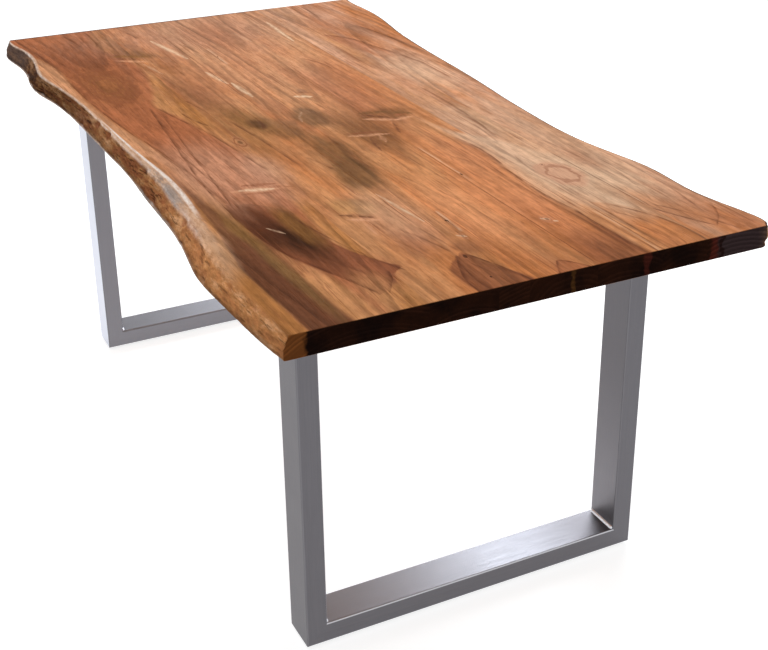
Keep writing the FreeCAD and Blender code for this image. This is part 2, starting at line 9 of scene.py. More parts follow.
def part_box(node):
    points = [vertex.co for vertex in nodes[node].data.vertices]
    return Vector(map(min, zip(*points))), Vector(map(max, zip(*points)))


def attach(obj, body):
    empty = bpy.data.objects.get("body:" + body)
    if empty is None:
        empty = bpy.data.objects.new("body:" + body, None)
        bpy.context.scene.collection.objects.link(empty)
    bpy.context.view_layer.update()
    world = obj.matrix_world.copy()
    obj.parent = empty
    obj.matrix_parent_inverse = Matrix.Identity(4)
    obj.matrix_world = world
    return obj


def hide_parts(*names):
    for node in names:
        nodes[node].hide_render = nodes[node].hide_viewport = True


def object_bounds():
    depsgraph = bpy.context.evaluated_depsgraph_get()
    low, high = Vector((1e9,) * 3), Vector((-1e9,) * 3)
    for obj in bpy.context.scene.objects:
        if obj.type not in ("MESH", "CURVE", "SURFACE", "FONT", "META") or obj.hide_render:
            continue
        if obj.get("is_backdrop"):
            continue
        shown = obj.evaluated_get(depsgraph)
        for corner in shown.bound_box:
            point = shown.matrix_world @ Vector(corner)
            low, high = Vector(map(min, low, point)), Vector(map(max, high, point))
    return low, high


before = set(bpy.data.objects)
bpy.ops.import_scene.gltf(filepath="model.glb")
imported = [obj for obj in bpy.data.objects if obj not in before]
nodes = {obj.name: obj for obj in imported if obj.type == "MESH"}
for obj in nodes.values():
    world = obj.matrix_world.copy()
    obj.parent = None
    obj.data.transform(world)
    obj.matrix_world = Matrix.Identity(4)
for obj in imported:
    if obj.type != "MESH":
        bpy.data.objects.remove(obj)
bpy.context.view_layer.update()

# Live edge dining table. Metres, +X along the planks, +Z up, the floor at Z 0. "Near" is the +X end,
# "left" the -Y edge.

scene = bpy.context.scene

TOP_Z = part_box("inner_plank_1")[1].z
UNDER_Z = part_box("inner_plank_1")[0].z
HALF_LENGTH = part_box("inner_plank_1")[1].x
END_EASE = 0.0015
ENDS = ("near", "far")

# Named wood tones, as linear red, green and blue.
PALE_SAPWOOD = (0.66, 0.42, 0.27)
PINK_SAPWOOD = (0.58, 0.31, 0.19)
TAN = (0.53, 0.24, 0.10)
HONEY = (0.49, 0.17, 0.052)
OCHRE = (0.42, 0.17, 0.05)
RED_HEART = (0.36, 0.115, 0.048)
BROWN_HEART = (0.225, 0.072, 0.030)
DARK_HEART = (0.100, 0.030, 0.012)
NEAR_BLACK = (0.016, 0.003, 0.001)
OLIVE_BROWN = (0.20, 0.085, 0.022)
STRAW = (0.57, 0.275, 0.140)
SMUDGE = (0.155, 0.068, 0.022)
STRIPE_BROWN = (0.155, 0.056, 0.025)
ROSE_HEART = (0.56, 0.27, 0.16)
ORANGE_TAN = (0.74, 0.30, 0.13)
MUTED_TAN = (0.43, 0.24, 0.16)
CREAM = (0.74, 0.52, 0.34)
DARK_CORE = (0.040, 0.012, 0.003)
OLIVE_TAN = (0.24, 0.125, 0.042)
GOLDEN_SMEAR = (0.44, 0.21, 0.075)
DUSTY_TAN = (0.60, 0.36, 0.24)
SALMON = (0.68, 0.33, 0.18)
GOLDEN_BARK = (0.335, 0.148, 0.055)
BRIGHT_BARK = (0.46, 0.24, 0.12)
DARK_BARK = (0.060, 0.022, 0.009)
GREY_BARK = (0.25, 0.17, 0.14)
# Painted shade and a painted glint on the left raw edge.
PAINTED_SHADE_GREY = (0.23, 0.19, 0.17)
PAINTED_GLINT_WHITE = (0.80, 0.72, 0.66)
# Near black: dark end grain with painted shade in it.
DARK_END_GRAIN_AND_SHADE = (0.012, 0.006, 0.005)
CORNER_GRAIN = (0.24, 0.080, 0.022)
PALE_GRAIN = (0.17, 0.10, 0.065)
GREY_GRAIN = (0.058, 0.038, 0.040)
RED_GRAIN = (0.11, 0.022, 0.015)
WOOD_SHINE = 0.002
WOOD_BUMP = 0.0002


# Shader nodes

# The sockets of a colour mix: the share, the two colours, and the result.
MIX_SHARE, MIX_FIRST, MIX_SECOND = 0, 6, 7
MIX_RESULT = 2


class Wire:
    """One output of a node, so that a finish can be written as sums of wires and numbers."""

    def __init__(self, net, socket):
        self.net = net
        self.socket = socket

    def __add__(self, other):
        return self.net.math("ADD", self, other)

    def __sub__(self, other):
        return self.net.math("SUBTRACT", self, other)

    def __rsub__(self, other):
        return self.net.math("SUBTRACT", other, self)

    def __mul__(self, other):
        return self.net.math("MULTIPLY", self, other)

    def __truediv__(self, other):
        return self.net.math("DIVIDE", self, other)

    __radd__ = __add__
    __rmul__ = __mul__


class Net:
    """Adds nodes to a material or a node group and wires them up."""

    def __init__(self, tree):
        self.tree = tree

    def node(self, kind, values=None, **settings):
        made = self.tree.nodes.new(kind)
        for name, value in settings.items():
            setattr(made, name, value)
        for name, value in (values or {}).items():
            self.feed(made.inputs[name], value)
        return made

    def feed(self, socket, value):
        if isinstance(value, Wire):
            self.tree.links.new(value.socket, socket)
        elif socket.type == "RGBA":
            socket.default_value = (*value, 1.0)
        else:
            socket.default_value = value

    def wire(self, node, name=0):
        return Wire(self, node.outputs[name])

    def math(self, operation, first, second=0.0, clamp=False):
        values = {0: first, 1: second}
        return self.wire(self.node("ShaderNodeMath", values, operation=operation, use_clamp=clamp))

    def absolute(self, value):
        return self.math("ABSOLUTE", value)

    def larger(self, first, second):
        return self.math("MAXIMUM", first, second)

    def steps(self, value, low, high):
        """0 below low, 1 above high, smooth between them. Where low is above high it falls instead."""
        values = {"Value": value, "From Min": low, "From Max": high}
        return self.wire(self.node("ShaderNodeMapRange", values, interpolation_type="SMOOTHSTEP"), "Result")

    def noise(self, place, scale, detail=2.0, roughness=0.5):
        values = {"Vector": place, "Scale": scale, "Detail": detail, "Roughness": roughness}
        return self.wire(self.node("ShaderNodeTexNoise", values), "Fac")

    def stretch(self, place, across, seed=0.0):
        """The place scaled by three numbers and moved by a seed."""
        values = {"Vector": place, "Scale": across, "Location": (seed, seed * 1.7, seed * 0.6)}
        return self.wire(self.node("ShaderNodeMapping", values))

    def split(self, place):
        made = self.node("ShaderNodeSeparateXYZ", {0: place})
        return [self.wire(made, axis) for axis in range(3)]

    def join(self, x, y, z):
        return self.wire(self.node("ShaderNodeCombineXYZ", {0: x, 1: y, 2: z}))

    def mix(self, way, share, first, second):
        values = {MIX_SHARE: share, MIX_FIRST: first, MIX_SECOND: second}
        made = self.node("ShaderNodeMix", values, data_type="RGBA", blend_type=way)
        return self.wire(made, MIX_RESULT)

    def blend(self, share, first, second):
        """The first colour where the share is 0 and the second where it is 1."""
        return self.mix("MIX", share, first, second)

    def shade(self, colour, factor):
        """The colour times a number."""
        return self.mix("MULTIPLY", 1.0, colour, self.join(factor, factor, factor))

    def course(self, x, points):
        """Y of a smooth line through points (x, y) along the table, both in metres."""
        curve = self.node("ShaderNodeFloatCurve", {"Value": x * (0.5 / HALF_LENGTH) + 0.5})
        line = curve.mapping.curves[0]
        for index, (along, across) in enumerate(points):
            spot = (along * 0.5 / HALF_LENGTH + 0.5, across + 0.5)
            if index < 2:
                line.points[index].location = spot
            else:
                line.points.new(*spot)
        curve.mapping.update()
        return self.wire(curve) - 0.5

    def use(self, group, values):
        made = self.node("ShaderNodeGroup", node_tree=group)
        for name, value in values.items():
            self.feed(made.inputs[name], value)
        return made


SOCKETS = {"number": "NodeSocketFloat", "place": "NodeSocketVector", "colour": "NodeSocketColor"}


def new_group(name, inputs, outputs):
    """A node group with named sockets, as the group, its net, its input wires and its output node."""
    tree = bpy.data.node_groups.new(name, "ShaderNodeTree")
    for label, kind in inputs:
        tree.interface.new_socket(label, in_out="INPUT", socket_type=SOCKETS[kind])
    for label, kind in outputs:
        tree.interface.new_socket(label, in_out="OUTPUT", socket_type=SOCKETS[kind])
    net = Net(tree)
    given = net.node("NodeGroupInput")
    wires = {label: net.wire(given, label) for label, _ in inputs}
    return tree, net, wires, net.node("NodeGroupOutput")


def make_wood_grain():
    """Rings round a pith, fibres, pores and broad tones, all solid, so that the ends show the same rings."""
    inputs = (("Place", "place"), ("Pith Y", "number"), ("Pith Z", "number"), ("Taper", "number"),
              ("Ring Width", "number"), ("Seed", "number"))
    outputs = (("Rings", "number"), ("Fibre", "number"), ("Pores", "number"), ("Tone", "number"),
               ("Warmth", "number"), ("Mottle", "number"), ("Hairlines", "number"), ("Streaks", "number"))
    tree, net, given, result = new_group("wood_grain", inputs, outputs)
    place = given["Place"]
    x, y, z = net.split(place)
    moved = net.join(x + given["Seed"], y, z)
    wander = net.noise(net.stretch(moved, (1.1, 7.0, 7.0)), 1.0, 3.0) - 0.5
    tremble = net.noise(net.stretch(moved, (9.0, 60.0, 60.0)), 1.0, 2.0) - 0.5
    across = y + wander * 0.05 - given["Pith Y"]
    depth = z - given["Pith Z"]
    radius = net.math("SQRT", across * across + depth * depth)
    phase = (radius + x * given["Taper"] + tremble * 0.0022) / given["Ring Width"]
    saw = net.math("FRACT", phase)
    line = net.steps(saw, 0.25, 0.88) * net.steps(saw, 1.0, 0.93)
    strength = net.noise(net.join(phase * 0.6, x * 0.7, given["Seed"]), 1.0, 1.0)
    net.feed(result.inputs["Rings"], line * net.steps(strength, 0.3, 0.7))
    flowing = net.join(x + given["Seed"], y + wander * 0.045, z + wander * 0.045)
    fibre = net.noise(net.stretch(flowing, (2.6, 120.0, 120.0)), 1.0, 6.0, 0.72)
    net.feed(result.inputs["Fibre"], net.steps(fibre, 0.34, 0.66))
    hairlines = net.noise(net.stretch(flowing, (4.0, 330.0, 330.0), 7.0), 1.0, 2.0, 0.5)
    crowding = net.noise(net.stretch(moved, (3.0, 22.0, 22.0), 9.0), 1.0, 2.0)
    net.feed(result.inputs["Hairlines"], net.steps(hairlines, 0.58, 0.64) * net.steps(crowding, 0.42, 0.60))
    streaks = net.noise(net.stretch(flowing, (1.4, 48.0, 48.0), 13.0), 1.0, 3.0, 0.55)
    net.feed(result.inputs["Streaks"], net.steps(streaks, 0.47, 0.66))
    pores = net.noise(net.stretch(moved, (26.0, 820.0, 820.0)), 1.0, 1.0)
    net.feed(result.inputs["Pores"], net.steps(pores, 0.60, 0.70))
    tone = net.noise(net.stretch(moved, (2.3, 15.0, 15.0)), 1.0, 4.0, 0.6)
    net.feed(result.inputs["Tone"], net.steps(tone, 0.3, 0.7))
    warmth = net.noise(net.stretch(moved, (3.5, 9.0, 9.0), 3.0), 1.0, 5.0, 0.6)
    net.feed(result.inputs["Warmth"], net.steps(warmth, 0.42, 0.68))
    mottle = net.noise(net.stretch(moved, (24.0, 75.0, 75.0)), 1.0, 4.0, 0.7)
    net.feed(result.inputs["Mottle"], net.steps(mottle, 0.34, 0.66))
    return tree


def make_grain_line():
    """A line of the figure, bowed sideways between its ends, crisp on one side and soft on the other."""
    inputs = (("Place", "place"), ("Start", "place"), ("End", "place"), ("Bow", "number"),
              ("Half Width", "number"), ("Soft Side", "number"))
    tree, net, given, result = new_group("grain_line", inputs, (("Mask", "number"),))
    x, y, _ = net.split(given["Place"])
    start_x, start_y, _ = net.split(given["Start"])
    end_x, end_y, _ = net.split(given["End"])
    share = net.math("DIVIDE", x - start_x, end_x - start_x, clamp=True)
    line = start_y + (end_y - start_y) * share + given["Bow"] * 4.0 * share * (1.0 - share)
    off = (y - line) * given["Soft Side"]
    crisp = net.steps(off * -1.0, given["Half Width"], 0.0) * net.steps(off, given["Half Width"] * 5.0, 0.0)
    ends = net.steps(share, 0.0, 0.12) * net.steps(share, 1.0, 0.85)
    net.feed(result.inputs["Mask"], crisp * ends)
    return tree


def make_stroke():
    """A short stroke between two points, running in any direction, thin at both ends."""
    inputs = (("Place", "place"), ("Start", "place"), ("End", "place"), ("Half Width", "number"))
    tree, net, given, result = new_group("stroke", inputs, (("Mask", "number"),))
    x, y, _ = net.split(given["Place"])
    start_x, start_y, _ = net.split(given["Start"])
    end_x, end_y, _ = net.split(given["End"])
    run, rise = end_x - start_x, end_y - start_y
    off_x, off_y = x - start_x, y - start_y
    share = net.math("DIVIDE", off_x * run + off_y * rise, run * run + rise * rise, clamp=True)
    away_x, away_y = off_x - run * share, off_y - rise * share
    away = net.math("SQRT", away_x * away_x + away_y * away_y)
    width = given["Half Width"] * (0.3 + 2.8 * share * (1.0 - share))
    ragged = net.noise(net.stretch(given["Place"], (60.0, 160.0, 0.0)), 1.0, 2.0) * 0.8 + 0.6
    broken = net.noise(net.stretch(given["Place"], (45.0, 130.0, 0.0), 5.0), 1.0, 2.0)
    body = net.steps(away * ragged / width, 1.6, -0.4)
    net.feed(result.inputs["Mask"], body * (0.5 + 0.5 * net.steps(broken, 0.38, 0.55)))
    return tree


def make_soft_patch():
    """A patch with a ragged rim, longest along the grain."""
    inputs = (("Place", "place"), ("Centre", "place"), ("Half Size", "place"), ("Slope", "number"),
              ("Softness", "number"))
    tree, net, given, result = new_group("soft_patch", inputs, (("Mask", "number"),))
    x, y, _ = net.split(given["Place"])
    middle_x, middle_y, _ = net.split(given["Centre"])
    half_x, half_y, _ = net.split(given["Half Size"])
    along = (x - middle_x) / half_x
    across = (y - middle_y - (x - middle_x) * given["Slope"]) / half_y
    reach = net.math("SQRT", along * along + across * across)
    ragged = (net.noise(net.stretch(given["Place"], (14.0, 60.0, 0.0)), 1.0, 3.0) - 0.5) * 0.8
    soft = given["Softness"]
    net.feed(result.inputs["Mask"], net.steps(reach + ragged, 1.0 + soft, 1.0 - soft))
    return tree


def make_knot():
    """A knot: a dark core, rings round it and a halo."""
    inputs = (("Place", "place"), ("Centre", "place"), ("Half Size", "place"))
    outputs = (("Core", "number"), ("Rings", "number"), ("Halo", "number"))
    tree, net, given, result = new_group("knot", inputs, outputs)
    x, y, _ = net.split(given["Place"])
    middle_x, middle_y, _ = net.split(given["Centre"])
    half_x, half_y, _ = net.split(given["Half Size"])
    along = (x - middle_x) / half_x
    across = (y - middle_y) / half_y
    wobble = (net.noise(net.stretch(given["Place"], (35.0, 35.0, 0.0)), 1.0, 2.0) - 0.5) * 0.7
    reach = net.math("SQRT", along * along + across * across) + wobble
    net.feed(result.inputs["Core"], net.steps(reach, 0.38, 0.18))
    wave = net.math("SINE", reach * 11.0) * 0.5 + 0.5
    around_core = net.steps(reach, 1.25, 0.85) * net.steps(reach, 0.30, 0.50)
    net.feed(result.inputs["Rings"], net.steps(wave, 0.6, 0.95) * around_core)
    net.feed(result.inputs["Halo"], net.steps(reach, 1.35, 0.9))
    return tree


WOOD_GRAIN = make_wood_grain()
GRAIN_LINE = make_grain_line()
STROKE = make_stroke()
SOFT_PATCH = make_soft_patch()
KNOT = make_knot()


# Figure of the top. Every place is (x, y) on the upper face; each plank takes what lies on it.

# Areas of another colour between two courses: tone, share, softness, upper course, lower course.
AREAS = (
    (RED_HEART, 0.9, 0.010,
     ((-0.90, -0.25), (-0.75, -0.285), (-0.66, -0.27), (-0.55, -0.245), (-0.45, -0.245), (-0.30, -0.275),
      (-0.20, -0.300), (-0.12, -0.280), (0.0, -0.262), (0.10, -0.247), (0.20, -0.238), (0.35, -0.245),
      (0.9, -0.30)),
     ((-0.90, -0.50), (-0.75, -0.460), (-0.68, -0.432), (-0.60, -0.418), (-0.50, -0.418),
      (-0.40, -0.422), (-0.20, -0.415), (-0.10, -0.405), (0.0, -0.392), (0.10, -0.380), (0.20, -0.370),
      (0.40, -0.360), (0.9, -0.30))),
    (BROWN_HEART, 1.0, 0.0035,
     ((-0.9, -0.5), (0.36, -0.40), (0.42, -0.310), (0.47, -0.280), (0.60, -0.268), (0.67, -0.252),
      (0.74, -0.222), (0.765, -0.208), (0.778, -0.226), (0.81, -0.240), (0.83, -0.262), (0.842, -0.290),
      (0.9, -0.5)),
     ((-0.9, -0.36), (0.36, -0.36), (0.42, -0.366), (0.50, -0.368), (0.58, -0.360), (0.66, -0.345),
      (0.70, -0.332), (0.77, -0.302), (0.82, -0.288), (0.9, -0.28))),
    (STRIPE_BROWN, 1.0, 0.006,
     ((-0.9, -0.42), (0.0, -0.412), (0.10, -0.406), (0.20, -0.400), (0.30, -0.393), (0.40, -0.385),
      (0.50, -0.376), (0.60, -0.362), (0.75, -0.358), (0.85, -0.354), (0.9, -0.350)),
     ((-0.9, -0.40), (0.0, -0.412), (0.30, -0.405), (0.40, -0.410), (0.50, -0.418), (0.60, -0.430),
      (0.66, -0.435), (0.75, -0.432), (0.9, -0.425))),
    (PALE_SAPWOOD, 0.75, 0.012,
     ((-0.9, 0.16), (0.20, 0.17), (0.32, 0.235), (0.42, 0.270), (0.55, 0.290), (0.66, 0.285),
      (0.74, 0.25), (0.9, 0.15)),
     ((-0.9, 0.17), (0.28, 0.165), (0.36, 0.174), (0.44, 0.168), (0.52, 0.160), (0.60, 0.156),
      (0.66, 0.160), (0.72, 0.167), (0.9, 0.167))),
    (RED_HEART, 0.22, 0.005,
     ((-0.9, 0.0), (0.20, 0.13), (0.28, 0.165), (0.36, 0.174), (0.44, 0.168), (0.52, 0.160),
      (0.60, 0.156), (0.66, 0.160), (0.72, 0.167), (0.9, 0.166)),
     ((-0.9, 0.12), (0.24, 0.12), (0.34, 0.085), (0.45, 0.072), (0.9, 0.07))),
    (HONEY, 0.75, 0.0035,
     ((-0.9, 0.10), (0.66, 0.20), (0.69, 0.227), (0.72, 0.252), (0.76, 0.268), (0.82, 0.280),
      (0.86, 0.284), (0.9, 0.281)),
     ((-0.9, 0.206), (0.9, 0.206))),
    (BROWN_HEART, 0.8, 0.004,
     ((-0.9, -0.2), (0.74, -0.125), (0.765, -0.095), (0.80, -0.086), (0.84, -0.070), (0.87, -0.055),
      (0.9, -0.044)),
     ((-0.9, -0.07), (0.74, -0.085), (0.77, -0.112), (0.79, -0.132), (0.81, -0.146), (0.85, -0.150),
      (0.9, -0.143))),
    (RED_HEART, 0.6, 0.003,
     ((-0.9, -0.1), (0.84, 0.0), (0.855, 0.024), (0.875, 0.042), (0.9, 0.056)),
     ((-0.9, 0.1), (0.84, 0.04), (0.855, 0.020), (0.875, 0.006), (0.9, -0.002))),
    (RED_HEART, 0.55, 0.008,
     ((-0.9, 0.2), (-0.60, 0.24), (-0.575, 0.260), (-0.55, 0.285), (-0.48, 0.308), (-0.40, 0.322),
      (-0.34, 0.348), (-0.28, 0.362), (-0.15, 0.362), (0.0, 0.33), (0.9, 0.3)),
     ((-0.9, 0.25), (-0.57, 0.250), (-0.45, 0.262), (-0.30, 0.300), (-0.10, 0.335), (0.1, 0.34),
      (0.9, 0.34))),
    (RED_HEART, 0.30, 0.004,
     ((-0.9, 0.2), (0.40, 0.30), (0.55, 0.36), (0.694, 0.386), (0.779, 0.388), (0.832, 0.365),
      (0.862, 0.334), (0.9, 0.25)),
     ((-0.9, 0.4), (0.40, 0.345), (0.60, 0.310), (0.738, 0.285), (0.77, 0.305), (0.862, 0.334),
      (0.9, 0.40))),
    (OCHRE, 0.85, 0.004,
     ((-0.9, -0.60), (0.05, -0.42), (0.10, -0.407), (0.30, -0.405), (0.40, -0.410), (0.50, -0.418),
      (0.60, -0.430), (0.66, -0.435), (0.75, -0.432), (0.9, -0.425)),
     ((-0.9, -0.60), (0.9, -0.60))),
    (STRAW, 0.80, 0.006,
     ((-0.9, -0.46), (-0.75, -0.460), (-0.68, -0.434), (-0.60, -0.420), (-0.50, -0.420), (-0.40, -0.424),
      (-0.20, -0.417), (-0.10, -0.407), (0.0, -0.394), (0.10, -0.382), (0.30, -0.368), (0.45, -0.372),
      (0.9, -0.45)),
     ((-0.9, -0.5), (0.0, -0.5), (0.10, -0.404), (0.30, -0.389), (0.40, -0.382), (0.9, -0.40))),
)

# Lines: from, to, bow, half width, strength, soft side (1 above the line, -1 below it).
DARK_LINES = (
    ((0.25, 0.163), (0.46, 0.166), 0.011, 0.0016, 0.75, -1),
    ((0.44, 0.168), (0.70, 0.166), -0.010, 0.0016, 0.75, -1),
    ((0.68, 0.166), (0.92, 0.168), -0.003, 0.0022, 0.85, -1),
    ((0.69, 0.226), (0.92, 0.280), 0.024, 0.0014, 0.7, -1),
    ((0.72, 0.212), (0.92, 0.236), 0.026, 0.0012, 0.5, -1),
    ((0.78, 0.214), (0.92, 0.222), 0.012, 0.0010, 0.4, -1),
    ((0.45, 0.378), (0.82, 0.350), 0.014, 0.0012, 0.5, -1),
    ((0.72, 0.288), (0.90, 0.362), 0.008, 0.0014, 0.6, 1),
    ((0.50, 0.345), (0.74, 0.300), 0.010, 0.0010, 0.35, -1),
    ((-0.58, 0.255), (-0.44, 0.315), 0.016, 0.0026, 0.7, -1),
    ((-0.47, 0.309), (-0.20, 0.365), 0.004, 0.0022, 0.6, -1),
    ((-0.62, 0.368), (-0.40, 0.394), 0.004, 0.0022, 0.45, 1),
    ((-0.89, 0.318), (-0.73, 0.312), 0.003, 0.0018, 0.6, 1),
    ((-0.89, 0.287), (-0.70, 0.290), 0.002, 0.0014, 0.5, 1),
    ((-0.41, 0.119), (-0.28, 0.146), 0.012, 0.0018, 0.55, -1),
    ((-0.08, 0.262), (0.32, 0.238), 0.010, 0.0016, 0.6, -1),
    ((0.20, 0.240), (0.34, 0.222), 0.004, 0.0012, 0.4, -1),
    ((0.76, -0.096), (0.93, -0.043), 0.004, 0.0020, 0.9, -1),
    ((0.77, -0.112), (0.93, -0.142), -0.014, 0.0020, 0.85, 1),
    ((0.79, -0.118), (0.93, -0.118), -0.010, 0.0012, 0.6, 1),
    ((0.80, -0.104), (0.93, -0.082), 0.004, 0.0012, 0.5, -1),
    ((0.853, 0.022), (0.92, 0.064), 0.006, 0.0014, 0.7, -1),
    ((0.853, 0.022), (0.92, -0.006), -0.004, 0.0014, 0.7, 1),
    ((0.63, -0.114), (0.76, -0.097), 0.002, 0.0013, 0.5, -1),
    ((0.46, -0.280), (0.72, -0.229), -0.010, 0.0014, 0.6, -1),
    ((0.69, -0.243), (0.785, -0.204), 0.0, 0.0014, 0.7, -1),
    ((0.765, -0.232), (0.845, -0.268), 0.006, 0.0016, 0.8, -1),
    ((0.42, -0.370), (0.68, -0.340), -0.008, 0.0016, 0.85, 1),
    ((0.64, -0.349), (0.845, -0.278), 0.0, 0.0016, 0.85, 1),
    ((0.55, -0.338), (0.78, -0.262), -0.004, 0.0022, 0.6, 1),
    ((0.50, -0.352), (0.72, -0.300), -0.004, 0.0016, 0.5, 1),
    ((-0.22, -0.314), (0.29, -0.367), -0.002, 0.0016, 0.8, 1),
    ((0.26, -0.366), (0.54, -0.366), -0.002, 0.0016, 0.85, 1),
    ((-0.16, -0.303), (0.22, -0.338), -0.003, 0.0014, 0.6, 1),
    ((0.18, -0.334), (0.42, -0.357), -0.001, 0.0014, 0.7, 1),
    ((-0.10, -0.325), (0.16, -0.350), 0.0, 0.0013, 0.5, 1),
    ((-0.15, -0.397), (0.22, -0.370), -0.004, 0.0012, 0.55, 1),
    ((0.10, -0.352), (0.46, -0.349), 0.004, 0.0012, 0.55, 1),
    ((-0.05, -0.398), (0.44, -0.361), 0.010, 0.0013, 0.6, 1),
    ((-0.90, -0.452), (-0.56, -0.417), 0.006, 0.0016, 0.6, 1),
    ((-0.62, -0.418), (0.02, -0.390), -0.012, 0.0015, 0.7, 1),
    ((-0.20, -0.303), (0.00, -0.262), -0.002, 0.0018, 0.6, 1),
    ((-0.02, -0.264), (0.28, -0.232), 0.002, 0.0016, 0.6, 1),
    ((-0.14, -0.267), (-0.02, -0.240), -0.006, 0.0016, 0.7, 1),
    ((-0.22, -0.232), (-0.10, -0.218), 0.002, 0.0016, 0.5, 1),
    ((-0.06, -0.199), (0.30, -0.170), 0.004, 0.0020, 0.65, 1),
    ((0.23, -0.146), (0.32, -0.126), 0.004, 0.0018, 0.6, 1),
    ((-0.04, -0.140), (0.05, -0.156), 0.004, 0.0022, 0.65, 1),
    ((-0.62, -0.237), (-0.42, -0.238), 0.0, 0.0016, 0.6, 1),
    ((-0.90, -0.277), (-0.72, -0.282), 0.004, 0.0018, 0.55, 1),
    ((-0.90, -0.300), (-0.70, -0.303), 0.003, 0.0018, 0.55, 1),
    ((-0.88, -0.335), (-0.74, -0.318), 0.003, 0.0018, 0.6, 1),
    ((-0.83, -0.183), (-0.76, -0.176), 0.002, 0.0024, 0.6, 1),
    ((0.40, -0.030), (0.56, -0.008), 0.004, 0.0012, 0.35, 1),
    ((0.62, 0.172), (0.92, 0.186), 0.004, 0.0014, 0.5, -1),
    ((0.72, 0.180), (0.92, 0.198), -0.002, 0.0012, 0.5, 1),
    ((0.66, 0.206), (0.92, 0.206), 0.0, 0.0012, 0.6, 1),
    ((0.40, 0.152), (0.66, 0.146), -0.008, 0.0024, 0.45, -1),
    ((0.58, 0.143), (0.92, 0.152), 0.006, 0.0026, 0.45, -1),
    ((0.64, 0.124), (0.92, 0.140), 0.004, 0.0014, 0.35, -1),
    ((0.42, 0.252), (0.60, 0.286), 0.006, 0.0012, 0.4, -1),
    ((0.40, 0.215), (0.56, 0.206), -0.008, 0.0012, 0.35, 1),
    ((0.56, 0.206), (0.74, 0.222), -0.010, 0.0012, 0.4, 1),
    ((0.35, 0.310), (0.62, 0.322), 0.006, 0.0012, 0.35, -1),
    ((0.45, 0.345), (0.80, 0.330), 0.010, 0.0012, 0.35, -1),
    ((0.66, 0.392), (0.89, 0.398), 0.003, 0.0012, 0.45, -1),
    ((0.74, 0.283), (0.866, 0.336), -0.004, 0.0014, 0.7, 1),
    ((0.77, 0.390), (0.866, 0.330), 0.010, 0.0013, 0.6, -1),
    ((0.30, 0.028), (0.52, 0.034), 0.006, 0.0010, 0.3, -1),
    ((0.48, -0.006), (0.74, 0.012), 0.008, 0.0010, 0.3, 1),
    ((0.62, -0.150), (0.76, -0.112), 0.004, 0.0014, 0.5, 1),
    ((0.66, -0.176), (0.78, -0.150), 0.004, 0.0012, 0.4, 1),
    ((0.20, -0.215), (0.46, -0.222), 0.004, 0.0012, 0.4, 1),
    ((0.35, 0.103), (0.47, 0.124), 0.012, 0.0010, 0.4, -1),
    ((0.35, 0.103), (0.50, 0.098), -0.006, 0.0010, 0.4, 1),
    ((0.30, 0.138), (0.60, 0.128), 0.010, 0.0010, 0.35, -1),
)

# Pale lines, with the same columns as the dark ones; those along the glue joints are painted highlights.
PALE_LINES_AND_SEAM_HIGHLIGHTS = (
    ((0.44, 0.289), (0.74, 0.287), 0.0, 0.0012, 0.55, 1),
    ((0.36, 0.191), (0.62, 0.187), 0.004, 0.0012, 0.4, 1),
    ((0.27, 0.073), (0.50, 0.073), 0.0, 0.0011, 0.6, 1),
    ((0.58, -0.053), (0.69, -0.056), 0.0, 0.0012, 0.6, 1),
    ((-0.60, -0.052), (-0.43, -0.054), 0.0, 0.0016, 0.5, 1),
    ((0.70, 0.188), (0.92, 0.186), 0.003, 0.0014, 0.45, 1),
    ((0.40, 0.390), (0.86, 0.402), 0.002, 0.0012, 0.35, 1),
)

